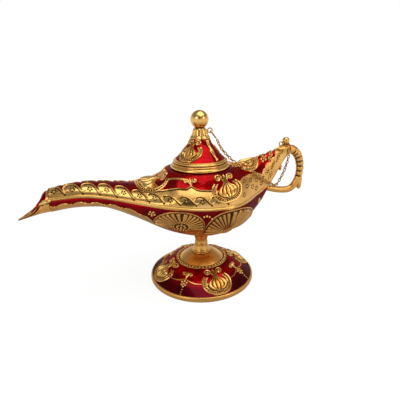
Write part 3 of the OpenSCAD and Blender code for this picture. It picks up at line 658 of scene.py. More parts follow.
@dataclass
class BodyForm:
    """The lamp body's smooth form, from the spout's nozzle joint to the end of the tail."""

    body_w: float = 66.0
    spout_w: float = 8.6
    joint_w: float = 7.0
    tail_w: float = 3.3
    spout_spread: float = 47.0
    tail_spread: float = 36.0
    joint_x: float = 97.0
    hump_x: float = 76.0
    saddle_x: float = 46.0
    stern_x: float = 47.0
    tail_x: float = 65.5
    ridge_z: float = 29.0
    ridge_hump_z: float = 37.2
    ridge_joint_z: float = 36.2
    ridge_stern_z: float = 32.6
    ridge_tail_z: float = 56.8
    crown_joint_z: float = 42.6
    crown_hump_z: float = 45.2
    crown_saddle_z: float = 42.0
    neck_z: float = 49.4
    crown_dip_z: float = 48.8
    crown_tail_z: float = 60.6
    keel_joint_z: float = 28.6
    keel_hump_z: float = 29.8
    keel_stern_z: float = 27.4
    keel_low_z: float = 1.6
    wall: float = 1.7
    hull_power: float = 1.8
    neck_r: float = 15.5
    collar_r: float = 20.1
    flare_w: float = 7.5
    bowl_z: float = 33.0

    def __post_init__(self) -> None:
        """Sets out the ridge, crown and keel lines."""
        joint, hump, saddle = self.joint_x, self.hump_x, self.saddle_x
        stern, tail, collar = self.stern_x, self.tail_x, self.collar_r
        step = tail - stern
        mid_z = mix(self.ridge_z, self.ridge_hump_z, 0.45)
        self.ridge_line = [
            (-joint, self.ridge_joint_z), (-hump, self.ridge_hump_z), (-saddle, mid_z),
            (-collar, self.ridge_z + 1.6), (0, self.ridge_z + 0.2), (self.neck_r, self.ridge_z),
            (stern - 12, self.ridge_z + 1.2), (stern, self.ridge_stern_z),
            (stern + 0.28 * step, mix(self.ridge_stern_z, self.ridge_tail_z, 0.24)),
            (stern + 0.62 * step, mix(self.ridge_stern_z, self.ridge_tail_z, 0.62)),
            (tail, self.ridge_tail_z),
        ]
        self.crown_line = [
            (-joint, self.crown_joint_z), (-hump - 9, self.crown_hump_z - 0.6),
            (-hump + 2, self.crown_hump_z),
            (-mix(saddle, hump, 0.45), self.crown_hump_z - 1.4),
            (-saddle, self.crown_saddle_z), (-collar - 14, self.crown_saddle_z + 0.4),
            (-collar - 6, mix(self.crown_saddle_z, self.neck_z, 0.42)), (-collar, self.neck_z),
            (collar, self.neck_z), (collar + 8, self.crown_dip_z),
            (stern, mix(self.crown_dip_z, self.crown_tail_z, 0.48)), (tail, self.crown_tail_z),
        ]
        self.keel_line = [
            (-joint, self.keel_joint_z), (-hump - 8, self.keel_hump_z + 0.3),
            (-hump + 4, self.keel_hump_z),
            (-mix(saddle, hump, 0.55), self.keel_hump_z - 1.6),
            (-saddle, 0.68 * self.keel_hump_z), (-24, 0.27 * self.keel_hump_z), (0, self.keel_low_z),
            (19, 0.15 * self.keel_stern_z), (33, 0.38 * self.keel_stern_z),
            (stern - 4, 0.72 * self.keel_stern_z), (stern, self.keel_stern_z),
        ]

    @property
    def seat_z(self) -> float:
        """Height of the flat seat under the neck collar."""
        return self.bowl_z + self.neck_z

    def ridge_at(self, x: np.ndarray) -> np.ndarray:
        """Height of the ridge."""
        return self.bowl_z + curve(self.ridge_line, x)

    def half_at(self, x: np.ndarray) -> np.ndarray:
        """Half the width at the ridge."""
        x = np.asarray(x, float)
        slim = mix(self.spout_w, self.joint_w, ease((-x - self.hump_x) / (self.joint_x - self.hump_x)))
        thin = mix(self.spout_w * 0.55, self.tail_w, ease((x - self.stern_x) / (self.tail_x - self.stern_x)))
        low = np.where(x < 0, slim, thin)
        swell = np.where(x < 0, bell(x, self.spout_spread, 2.3), bell(x, self.tail_spread, 3))
        return low + (self.body_w / 2 - low) * swell

    def over(self, x: np.ndarray, a: np.ndarray, inset: float = 0.0) -> np.ndarray:
        """Points of the shoulders.

        Args:
            x: places along the lamp.
            a: angles from the near ridge (0) over the crown to the far ridge (pi).
            inset: how far inside the outer surface.

        Returns:
            The points, with x, y, z last.
        """
        x, a = np.broadcast_arrays(np.asarray(x, float), np.asarray(a, float))
        half = self.half_at(x)
        ridge = self.ridge_at(x)
        crown = self.bowl_z + curve(self.crown_line, x)
        inner = np.minimum(inset, 0.55 * half)
        y = -(half - inner) * np.cos(a)
        z = ridge + (crown - inner - ridge) * np.sin(a)
        near = (np.abs(x) < self.collar_r + 4) | ((x < 0) & (x > -self.collar_r - self.flare_w - 0.6))
        reach = np.hypot(x, y) - self.collar_r - 0.6
        flared = mix(z + inset, self.seat_z, 1 - ease(reach / self.flare_w)) - inset
        return np.stack([x, y, np.where(near & (np.sin(a) > 1e-6), flared, z)], -1)

    def under(self, x: np.ndarray, a: np.ndarray, inset: float = 0.0) -> np.ndarray:
        """Points of the hull, with a from the near ridge under the keel to the far ridge."""
        x, a = np.broadcast_arrays(np.asarray(x, float), np.asarray(a, float))
        half = self.half_at(x) - inset
        ridge = self.ridge_at(x)
        depth = np.maximum(ridge - self.bowl_z - curve(self.keel_line, x) - inset, 0.02)
        drop = np.power(np.maximum(np.sin(a), 0), 2 / self.hull_power)
        return np.stack([x, -half * np.cos(a), ridge - depth * drop], -1)


def shell(section: Callable[..., np.ndarray], xs: np.ndarray, wall: float) -> bmesh.types.BMesh:
    """A hollow casting of the body.

    Args:
        section: BodyForm.over or BodyForm.under.
        xs: stations along the lamp.
        wall: its thickness.

    Returns:
        The casting, closed along its edges.
    """
    a = np.linspace(0, math.pi, 61)
    outside, inside = section(xs[:, None], a[None, :]), section(xs[:, None], a[None, ::-1], wall)
    bm = bmesh.new()
    loft(bm, np.concatenate([outside, inside], axis=1))
    return bm


class Carrier(Protocol):
    """A curved form that relief is laid on."""

    def place(self, flat: np.ndarray) -> np.ndarray:
        """Takes flat points (across, up, height) to points in space."""


class BodyCarrier:
    """The body's outside, by place along the lamp and distance round it from the near ridge."""

    STEP_MM = 0.5
    NUDGE_MM = 0.6

    def __init__(
        self, section: Callable[[np.ndarray, np.ndarray], np.ndarray], low_x: float, high_x: float
    ) -> None:
        """Measures the form once.

        Args:
            section: BodyForm.over or BodyForm.under.
            low_x: where the form starts.
            high_x: where it ends.
        """
        self.xs = np.arange(low_x, high_x + self.STEP_MM, self.STEP_MM)
        angles = np.linspace(0, math.pi, 541)
        points = section(self.xs[:, None], angles[None, :])
        steps = np.linalg.norm(np.diff(points, axis=1), axis=2)
        girth = np.concatenate([np.zeros((len(self.xs), 1)), np.cumsum(steps, axis=1)], axis=1)
        self.girth = girth[:, -1]
        self.gs = np.arange(0, self.girth.max() + self.STEP_MM, self.STEP_MM)
        table = np.empty((len(self.xs), len(self.gs), 3))
        for i in range(len(self.xs)):
            for k in range(3):
                table[i, :, k] = np.interp(self.gs, girth[i], points[i, :, k])
        self.table = table

    def total(self, x: np.ndarray) -> np.ndarray:
        """Distance round from ridge to ridge."""
        return np.interp(x, self.xs, self.girth)

    def surface(self, x: np.ndarray, g: np.ndarray) -> np.ndarray:
        """Points on the form itself."""
        fx = np.clip((x - self.xs[0]) / self.STEP_MM, 0, len(self.xs) - 1.001)
        fg = np.clip(g / self.STEP_MM, 0, len(self.gs) - 1.001)
        i, j = fx.astype(int), fg.astype(int)
        u, v = (fx - i)[:, None], (fg - j)[:, None]
        t = self.table
        here, beyond = ((1 - v) * t[k, j] + v * t[k, j + 1] for k in (i, i + 1))
        return (1 - u) * here + u * beyond

    def raised(self, x: np.ndarray, g: np.ndarray, height: np.ndarray) -> np.ndarray:
        """Points at a height above the form."""
        x = np.clip(x, self.xs[0], self.xs[-1] - self.STEP_MM)
        g = np.clip(g, 0.01, self.total(x) - 0.01)
        along = self.surface(x + self.NUDGE_MM, g) - self.surface(x - self.NUDGE_MM, g)
        low = np.clip(g - self.NUDGE_MM, 0, None)
        high = np.minimum(g + self.NUDGE_MM, self.total(x))
        normal = np.cross(along, self.surface(x, high) - self.surface(x, low))
        normal /= np.linalg.norm(normal, axis=1)[:, None]
        point = self.surface(x, g)
        centre = np.stack([x, np.zeros_like(x), np.full_like(x, self.table[:, 0, 2].mean())], -1)
        outward = np.sign(np.sum(normal * (point - centre), axis=1))[:, None]
        return point + normal * outward * height[:, None]

    def place(self, flat: np.ndarray) -> np.ndarray:
        """Across is the place along the lamp, up is the distance round from the near ridge."""
        return self.raised(flat[:, 0], flat[:, 1], flat[:, 2])


class CrownCarrier(BodyCarrier):
    """The same, measured from the crown's middle: up is the place along the lamp."""

    def place(self, flat: np.ndarray) -> np.ndarray:
        """Across is the distance from the crown, up is the place along the lamp."""
        return self.raised(flat[:, 1], self.total(flat[:, 1]) / 2 + flat[:, 0], flat[:, 2])


class TurnedCarrier:
    """A turned form: across is the distance round it, up is the distance up its slope."""

    NUDGE_MM = 0.4

    def __init__(self, profile: Sequence[tuple[float, float]]) -> None:
        """Takes the slope as (radius, height) points from the bottom up."""
        self.profile = np.array(profile, float)
        self.ups = run_along(self.profile)

    def slope_at(self, up: np.ndarray) -> tuple[np.ndarray, np.ndarray]:
        """Radius and height at a distance up the slope."""
        r, z = (np.interp(up, self.ups, self.profile[:, k]) for k in (0, 1))
        return r, z

    def place(self, flat: np.ndarray) -> np.ndarray:
        """Takes flat points to the turned form."""
        up = np.clip(flat[:, 1], 0, self.ups[-1])
        r, z = self.slope_at(up)
        above, below = self.slope_at(up + self.NUDGE_MM), self.slope_at(up - self.NUDGE_MM)
        dr, dz = above[0] - below[0], above[1] - below[1]
        size = np.hypot(dr, dz)
        out = r + dz / size * flat[:, 2]
        a = flat[:, 0] / r
        return np.stack([out * np.cos(a), out * np.sin(a), z - dr / size * flat[:, 2]], -1)


class TurnedCarrierAt:
    """A turned carrier seen from one direction, so that a motif's middle stays straight up the slope."""

    def __init__(self, carrier: TurnedCarrier, azimuth_deg: float) -> None:
        """Keeps the carrier and the direction."""
        self.carrier = carrier
        self.turn = Matrix.Rotation(math.radians(azimuth_deg), 3, "Z")

    def place(self, flat: np.ndarray) -> np.ndarray:
        """Takes flat points to the form and turns them to the direction."""
        return self.carrier.place(flat) @ np.array(self.turn).T


class Lifted:
    """A carrier raised by a fixed height, for work that stands on a plate."""

    def __init__(self, carrier: Carrier, height: float) -> None:
        """Keeps the carrier and the height."""
        self.carrier = carrier
        self.height = height

    def place(self, flat: np.ndarray) -> np.ndarray:
        """Takes flat points to the raised form."""
        return self.carrier.place(flat + np.array([0.0, 0.0, self.height]))


# Drawings


@dataclass(frozen=True)
class Spot:
    """Where a drawn relief goes on its carrier."""

    across: float
    up: float
    turn_deg: float = 0.0
    scale: float = 1.0
    widen: float = 1.0


ORIGIN = (Spot(0, 0),)


class Tone(Enum):
    """The finishes of a relief: its raised gold, the dark laid beside and between it as painted shade (also
    the punched dots), and the duller ground under it.
    """

    GOLD = 0
    DARK = 1
    GROUND = 2


class Relief:
    """Raised work drawn flat, in millimetres, to be laid on a carrier."""

    DOT_RISE_MM = 0.22
    ROUNDED_SHARE = 0.72

    def __init__(self) -> None:
        """Starts an empty drawing."""
        self.bm = bmesh.new()

    def paint(self, tone: Tone, start: int) -> None:
        """Gives a tone to every face after the first ones."""
        self.bm.faces.ensure_lookup_table()
        for face in self.bm.faces[start:]:
            face.material_index = tone.value

    def bend(self, mapping: Callable[[np.ndarray], np.ndarray], start: int) -> None:
        """Moves every point after the first ones by a mapping of flat points."""
        self.bm.verts.ensure_lookup_table()
        verts = self.bm.verts[start:]
        for vert, co in zip(verts, mapping(np.array([v.co for v in verts]))):
            vert.co = co

    def wire(
        self,
        path: np.ndarray,
        radius: float,
        taper: tuple[float, float] = (1.0, 1.0),
        sides: int = 8,
        lift: float = 0.0,
    ) -> None:
        """Lays a round wire along a flat path.

        Args:
            path: the path's flat points.
            radius: the wire's radius.
            taper: its share at the start and at the end.
            sides: sides of the wire.
            lift: how far its crest is raised further.
        """
        t = np.linspace(0, 1, len(path))
        size = radius * np.minimum(mix(taper[0], 1.0, ease(t * 4)), mix(taper[1], 1.0, ease((1 - t) * 4)))
        self.ribbon(path, size, size + lift, sides)

    def shadow_line(self, path: np.ndarray, half_w: float, rise: float = 0.2) -> None:
        """Lays a flat dark line, a painted shadow beside raised work, that just clears the plate under it."""
        start = len(self.bm.faces)
        from_end = np.minimum(np.arange(len(path)), np.arange(len(path))[::-1])
        reach = beside(path) * (half_w * np.clip(from_end / 4 + 0.3, 0, 1)[:, None])
        corners = ((-1, -SINK_MM), (-0.9, rise), (0.9, rise), (1, -SINK_MM))
        lines = [np.column_stack([path + reach * share, np.full(len(path), up)]) for share, up in corners]
        loft(self.bm, np.stack(lines, 1))
        self.paint(Tone.DARK, start)

    def dot(self, across: float, up: float, radius: float, tone: Tone = Tone.DARK) -> None:
        """Sets a flat dot, dark unless told otherwise, laid as painted shade."""
        start = len(self.bm.faces)
        self.bead(across, up, radius, min(0.35, self.DOT_RISE_MM / radius), 0.1)
        self.paint(tone, start)

    def ribbon(self, path: np.ndarray, half_w: np.ndarray, rise: np.ndarray, sides: int = 10) -> None:
        """Lays a rounded bar whose half width and rise follow the path."""
        side = beside(path)
        a = full_turn(sides)
        half_w = np.broadcast_to(half_w, (len(path),))
        rise = np.broadcast_to(rise, (len(path),))
        rings = np.empty((len(path), sides, 3))
        for k, angle in enumerate(a):
            rings[:, k, :2] = path + side * (half_w * math.cos(angle))[:, None]
            rings[:, k, 2] = (rise if math.sin(angle) > 0 else SINK_MM) * math.sin(angle)
        loft(self.bm, rings)

    def bead(self, across: float, up: float, radius: float, rise: float = 0.8, lift: float = 0.0) -> None:
        """Sets a small half-sunk ball."""
        place = Matrix.Translation((across, up, lift)) @ Matrix.Diagonal((radius, radius, radius * rise, 1))
        bmesh.ops.create_uvsphere(self.bm, u_segments=8, v_segments=5, radius=1.0, matrix=place)

    def slab(
        self, xs: np.ndarray, low: np.ndarray, high: np.ndarray, rise: np.ndarray, columns: int = 6,
        edge: float = 0.3, upright: bool = False,
    ) -> None:
        """Lays a thin plate between two curves.

        Args:
            xs: stations across the drawing.
            low: the plate's lower edge at each.
            high: its upper edge at each.
            rise: its height, or one for each station.
            columns: points between the edges.
            edge: the width over which its edges round off.
            upright: whether the stations run up the drawing and not across it.
        """
        span = np.maximum(high - low, 1e-3)
        soft = np.minimum(edge / span, 0.35)
        rise = np.broadcast_to(rise, xs.shape)
        shares = [np.zeros_like(xs), soft * 0.35]
        shares += [mix(soft, 1 - soft, np.full_like(xs, k / columns)) for k in range(columns + 1)]
        shares += [1 - soft * 0.35, np.ones_like(xs)]
        heights = [-SINK_MM, self.ROUNDED_SHARE, *[1.0] * (columns + 1), self.ROUNDED_SHARE, -SINK_MM]
        rings = []
        for share, height in zip(shares, heights):
            h = rise * height if height > 0 else np.full_like(xs, height)
            rings.append(np.stack([xs, low + span * share, h], -1))
        for share in shares[-3:1:-1]:
            rings.append(np.stack([xs, low + span * share, np.full_like(xs, -SINK_MM)], -1))
        solid = np.array(rings).transpose(1, 0, 2)
        if upright:
            solid = solid[:, :, [1, 0, 2]]
        loft(self.bm, solid)

    def lay(self, target: bmesh.types.BMesh, carrier: Carrier, spots: Sequence[Spot]) -> None:
        """Adds a copy at each spot to the target mesh."""
        points = np.array([v.co for v in self.bm.verts])
        for spot in spots:
            a = math.radians(spot.turn_deg)
            x, y, z = (points * np.array([spot.scale * spot.widen, spot.scale, spot.scale])).T
            across = spot.across + x * math.cos(a) - y * math.sin(a)
            up = spot.up + x * math.sin(a) + y * math.cos(a)
            copy = self.bm.copy()
            for vert, co in zip(copy.verts, carrier.place(np.stack([across, up, z], -1))):
                vert.co = co
            pour(copy, target)

    def close(self) -> None:
        """Throws the drawing away."""
        self.bm.free()


def relief_piece(
    name: str,
    finishes: Sequence[bpy.types.Material],
    sides: Sequence[tuple[Relief, Carrier, Sequence[Spot]]] = (),
    middle: Sequence[tuple[Relief, Carrier, Sequence[Spot]]] = (),
    body: Body = Body.LAMP,
) -> None:
    """Lays drawings as one gilt piece and throws them away.

    Args:
        name: the piece's name.
        finishes: one for each tone.
        sides: drawings with their carriers and spots, which the far side gets a mirrored copy of.
        middle: those that are laid only once.
        body: the body that the piece rides on.
    """
    bm = bmesh.new()
    for drawing, carrier, spots in sides:
        drawing.lay(bm, carrier, spots)
    if sides:
        mirror_across(bm)
    for drawing, carrier, spots in middle:
        drawing.lay(bm, carrier, spots)
    for drawing in {work[0] for work in (*sides, *middle)}:
        drawing.close()
    finish(bm, name, finishes, body=body)


# Motifs


@dataclass
class Onion:
    """The large motif: a gadrooned bulb with a scrolled top, in a beaded cup with two wings."""

    half_w: float = 9.8
    height: float = 18.4
    wire_r: float = 0.45
    bead_r: float = 0.5
    lobes: int = 5
    bulb_share: float = 1.0
    cup_share: float = 1.0

    def bulb_at(self, up: np.ndarray) -> np.ndarray:
        """Half width of the bulb."""
        outline = [(1.6, 0.5), (3.0, 4.6), (5.6, 7.1), (8.4, 6.2), (11.0, 3.0), (13.4, 1.5), (16.4, 1.35)]
        return curve(outline, up) * mix(self.bulb_share, 1.0, ease((up - 8) / 7))

    def cup_path(self, inset: float) -> np.ndarray:
        """The right half of the cup's rim, from its foot to the wing's tip."""
        w, h = self.half_w - inset, self.cup_share
        points = [
            (0, inset), (0.42 * w, 0.3 * h + inset), (0.8 * w, 2.4 * h + 0.8 * inset),
            (w, 6.2 * h + 0.2 * inset), (0.95 * w, 9.8 * h), (0.74 * w, 12.6 * h - 0.5 * inset),
        ]
        return through(points, 5)

    def draw(self) -> Relief:
        """Draws the motif with its foot at the origin."""
        relief = Relief()
        cup = self.cup_path(0.0)
        ups = np.linspace(0.1, 12.2 * self.cup_share, 26)
        order = np.argsort(cup[:, 1])
        outer = np.interp(ups, cup[order, 1], cup[order, 0])
        inner = np.maximum(outer - 2.9, 0) * ease((ups / self.cup_share - 6.2) / 2.4)
        for low, high in ((inner, outer), (-outer, -inner)):
            relief.slab(ups, low, high, 0.34, columns=5, upright=True)
        relief.paint(Tone.GROUND, 0)
        # Painted shade: a dark plate under the bulb, seen between its lobes.
        start = len(relief.bm.faces)
        ups = np.linspace(1.2, 8.6, 20)
        dark = self.bulb_at(np.clip(ups + 0.2, 1.6, 16)) + mix(0.4, -0.4, ease((ups - 5) / 3))
        relief.slab(ups, -dark, dark, 0.5, columns=6, upright=True)
        relief.paint(Tone.DARK, start)
        # Painted shade: a dark line under the row of beads, seen between them.
        line = self.cup_path(1.15)
        for side in pair(line):
            relief.shadow_line(side, 0.55, LINE_RISE_MM)
        for inset, radius, taper in ((0.0, 0.52, 0.7), (2.15, 0.42, 0.6)):
            line = self.cup_path(inset)
            for side in pair(line):
                relief.wire(side, radius, (1.0, taper), lift=0.15)
        self.bead_row(relief)
        self.gadroons(relief)
        self.curls(relief)
        return relief

    def bead_row(self, relief: Relief) -> None:
        """Sets the beads between the cup's two wires."""
        path = self.cup_path(1.12)
        run = run_along(path)
        for d in np.arange(0, run[-1] - 0.6, 2.9 * self.bead_r):
            s, t = np.interp(d, run, path[:, 0]), np.interp(d, run, path[:, 1])
            for side in (1, -1) if d > 0 else (1,):
                relief.bead(side * s, t, self.bead_r, 1.1, 0.4)

    def gadroons(self, relief: Relief) -> None:
        """Lays the bulb's lobes, which run together at its neck."""
        ups = np.linspace(1.7, 16.4, 26)
        half = self.bulb_at(ups)
        for k in range(self.lobes):
            share = 2 * (k + 0.5) / self.lobes - 1
            middle = half * share * 0.9
            width = half / self.lobes * 0.92
            lift = 1.3 * share * share * ease((7 - ups) / 4)
            rise = 0.7 + np.minimum(width, 1.5) * 0.8
            relief.ribbon(np.stack([middle, ups + lift], -1), width * 0.94, rise)

    def curls(self, relief: Relief) -> None:
        """Lays the two scrolls at the top and the bud between them."""
        stem = np.array([(1.0, 12.4), (1.35, 14.0), (2.0, 15.2)])
        curl = scroll((4.1, 15.8), 2.25, 0.7, 165, -420)
        path = np.vstack([through(stem, 3), curl])
        for side in pair(path):
            relief.wire(side, self.wire_r * 1.3, (0.8, 0.8))
        for sign in (1, -1):
            relief.bead(sign * 4.1, 15.8, 0.8, 1.0)
        bud = np.array([(0, 15.6), (0, 16.6), (0, 17.6), (0, self.height)])
        relief.ribbon(bud, np.array([0.7, 0.8, 0.5, 0.1]), np.array([0.8, 0.8, 0.6, 0.2]))


@dataclass
class Fleur:
    """A pair of small scrolls over a bud, with a drop of beads below."""

    wire_r: float = 0.42

    def draw(self, beads: int) -> Relief:
        """Draws it with the scrolls' root at the origin and a row of that many beads below."""
        relief = Relief()
        stem = through([(0, 0), (0.5, 1.4), (0.9, 2.2)], 3)
        curl = np.vstack([stem, scroll((2.1, 2.6), 1.25, 0.4, 170, -380)])
        for side in pair(curl):
            relief.wire(side, self.wire_r, (0.9, 0.8))
        bud = np.array([(0, 0.6), (0, 2.2), (0, 3.6), (0, 4.6)])
        relief.ribbon(bud, np.array([0.3, 0.7, 0.5, 0.1]), np.array([0.5, 0.7, 0.5, 0.2]))
        for sign in (1, -1):
            relief.bead(sign * 2.1, 2.6, 0.5, 1.0)
        relief.bead(0, -0.3, 0.6, 1.0)
        for k in range(beads):
            relief.bead(0, -7.4 - 1.4 * k, 0.5 - 0.03 * k, 0.9)
        if beads:
            drop = ((0, -1.9), (-1.5, -2.7), (1.5, -2.7), (0, -3.6), (-1.2, -4.4), (1.2, -4.4), (0, -5.5))
            for across, up in drop:
                relief.bead(across, up, 0.85, 1.0)
        return relief


class Florets:
    """Small flowers."""

    @staticmethod
    def raised(petals: int = 5, reach: float = 1.2, size: float = 0.5, ground: bool = False) -> Relief:
        """A flower of raised beads, with a dark disc of painted shade round it if it stands on gold."""
        relief = Relief()
        if ground:
            # Painted shade round and between the petals.
            relief.dot(0, 0, reach + 0.9 * size)
        relief.bead(0, 0, size * 0.9, 1.1)
        for k in range(petals):
            a = 2 * math.pi * k / petals + math.pi / 2
            relief.bead(reach * math.cos(a), reach * math.sin(a), size, 0.9)
        return relief

    @staticmethod
    def sunk(petals: int = 5, reach: float = 1.0, size: float = 0.5) -> Relief:
        """A small gold flower in a ring of dark punched dots, which lie almost flush."""
        relief = Relief()
        for k in range(petals):
            a = 2 * math.pi * k / petals - math.pi / 2
            relief.bead(reach * math.cos(a), reach * math.sin(a), size, 0.35)
        relief.paint(Tone.DARK, 0)
        relief.bead(0, 0, 0.35, 0.7)
        return relief


# Sub-assemblies


@dataclass
class Foot:
    """The round foot: gilt rim, enamelled cone, beaded dome and the stem's two turned pieces."""

    palette: Palette
    rim_r: float = 37.5
    rim_h: float = 3.4
    lip: float = 1.3
    cone_h: float = 14.2
    bulge: float = 1.35
    dome_r: float = 18.4
    dome_h: float = 5.0
    bead_t: float = 1.3
    bead_r: float = 0.84
    beads: int = 46
    wall: float = 1.6
    bore_r: float = 2.1
    stem_r: float = 4.4
    stem_h: float = 13.8
    knop_r: float = 7.0
    motifs: int = 4
    turn_deg: float = 6.0

    def slope(self, steps: int = 24) -> list[tuple[float, float]]:
        """The cone's outside, from the rim up."""
        r_out = self.rim_r - self.lip - 0.05
        rows = []
        for i in range(steps + 1):
            r = mix(r_out, self.dome_r, i / steps)
            t = (r - self.dome_r) / (self.rim_r - self.lip - self.dome_r)
            rows.append((r, mix(self.cone_h, self.rim_h - 0.2, t**self.bulge)))
        return rows

    def build(self) -> None:
        """Makes the foot's pieces."""
        self.rim()
        self.cone()
        self.relief()
        self.dome()
        self.stem()

    def rim(self) -> None:
        """The gilt rim with its rolled edge."""
        r, h, inner = self.rim_r, self.rim_h, self.rim_r - self.lip - 2.6
        profile = [(inner, 0), (r - 0.5, 0), (r, 0.6), (r, h - 0.9), (r - 0.5, h), (r - self.lip, h + 0.15),
                   (r - self.lip - 0.1, 1.6), (inner, 1.6)]
        turned_piece("foot_rim_ring", profile, self.palette.satin, "foot_rim", soft=0.45)

    def cone(self) -> None:
        """The enamelled cone, hollow underneath."""
        outside = self.slope()
        top, skirt = self.cone_h, outside[0][0]
        inside = [(r - 0.6 * self.wall, z - self.wall) for r, z in outside[1:]]
        profile = [(self.bore_r, top - self.wall), (self.bore_r, top), *outside[::-1], (skirt, 1.6),
                   (skirt - self.wall, 1.6), *inside]
        turned_piece("foot_enamel", profile, self.palette.foot_enamel, "foot_cone")

    def relief(self) -> None:
        """Four onions and four fleurs with drops, joined by festoons."""
        carrier = TurnedCarrier(self.slope())
        step = 180 / self.motifs
        ways = [TurnedCarrierAt(carrier, self.turn_deg + step * k) for k in range(2 * self.motifs)]
        onion, fleur, swag = Onion().draw(), Fleur().draw(4), Relief()
        onion_spots, fleur_spots = [Spot(0, 0.8, scale=1.04)], [Spot(0, 12.2, scale=1.12)]
        swag_spots = [Spot(0, 11.2)]
        path = [(-12.8, -2.2), (-8, -2.1), (-4, -1.2), (0, 0.1), (4, -1.2), (8, -2.1), (12.8, -2.2)]
        swag.wire(through(path, 5), 0.4, (0.6, 0.6), 6)
        onions = [(onion, way, onion_spots) for way in ways[::2]]
        relief_piece("foot_onions", self.palette.tones, middle=onions)
        between = [(way, work) for way in ways[1::2] for work in ((fleur, fleur_spots), (swag, swag_spots))]
        festoons = [(drawing, way, spots) for way, (drawing, spots) in between]
        relief_piece("foot_festoons", [self.palette.relief], middle=festoons)

    def dome(self) -> None:
        """The gilt dome and the ring of beads round its edge, whose bed is painted dark as the shade between
        the beads.
        """
        lip, low = self.dome_r - 2 * self.bead_t, self.cone_h
        top = low + self.dome_h
        shares = np.linspace(0, 1, 20)
        slope = [(mix(self.knop_r, lip, t), top - (self.dome_h - 0.8) * t**1.7) for t in shares]
        profile = [(self.bore_r, low), (self.bore_r, top), *slope, (lip, low)]
        turned_piece("foot_dome_cap", profile, self.palette.satin, "foot_dome")
        bm = bmesh.new()
        for radius, wire in ((lip + 0.22, 0.28), (self.dome_r - 0.28, 0.3)):
            tube(bm, oval(radius, radius, TURN_STEPS) + np.array([0, 0, low + 0.22]), wire, closed=True)
        bed_in, bed_out, bed_top = lip + 0.1, self.dome_r - 0.3, low + 0.3
        turn_profile(bm, [(bed_in, low), (bed_out, low), (bed_out, bed_top), (bed_in, bed_top)], TURN_STEPS)
        # Painted shade: the bed's flat faces under the beads take the dark finish.
        for face in bm.faces:
            level = abs(face.normal.z) > 0.99
            face.material_index = int(level and face.calc_center_median().z < low + 0.31)
        middle = (lip + self.dome_r) / 2 - 0.05
        for x, y, _ in oval(middle, middle, self.beads):
            ball(bm, (x, y, low + 0.45), self.bead_r, 8, 6)
        finish(bm, "dome_beads", self.palette.tones, ["dome_bead_ring"])

    def stem(self) -> None:
        """The knop and the ferrule, with the seam between them."""
        knop_z = self.cone_h + self.dome_h
        seam_z, bowl_z = knop_z + self.stem_h / 2, knop_z + self.stem_h
        r, s = self.knop_r, self.stem_r
        knop = [
            (self.bore_r, knop_z),
            *stepped(r, knop_z, 1, [(-0.3, 0), (0, 0.5), (-0.1, 0.95), (-0.75, 1.2)]),
            *stepped(0, knop_z, 1, [(5.9, 1.7), (5.2, 2.6), (4.75, 4.0), (4.45, 5.4)]),
            *stepped(s, seam_z, 1, [(0.1, -0.9), (0.32, -0.6), (0.2, -0.12), (-0.1, 0)]),
            (self.bore_r, seam_z),
        ]
        rising = [(-0.1, 0), (0.28, 0.15), (0.35, 0.6), (0, 0.95), (-0.05, 2.4), (0.12, 3.7), (0.55, 5.0)]
        ferrule = [(self.bore_r, seam_z), *stepped(s, seam_z, 1, rising), (5.7, bowl_z - 0.1), (5.8, bowl_z),
                   (self.bore_r, bowl_z)]
        for name, profile, node in (
            ("stem_knop_turned", knop, "stem_knop"), ("stem_ferrule_turned", ferrule, "stem_ferrule"),
        ):
            turned_piece(name, profile, self.palette.satin, node, soft=0.3, corner_steps=2, steps=72)


def strip_shift(x: np.ndarray) -> np.ndarray:
    """How far the polished moulding sits above the joint of the two castings."""
    return 0.7 + 0.9 * ease((-25 - x) / 25)


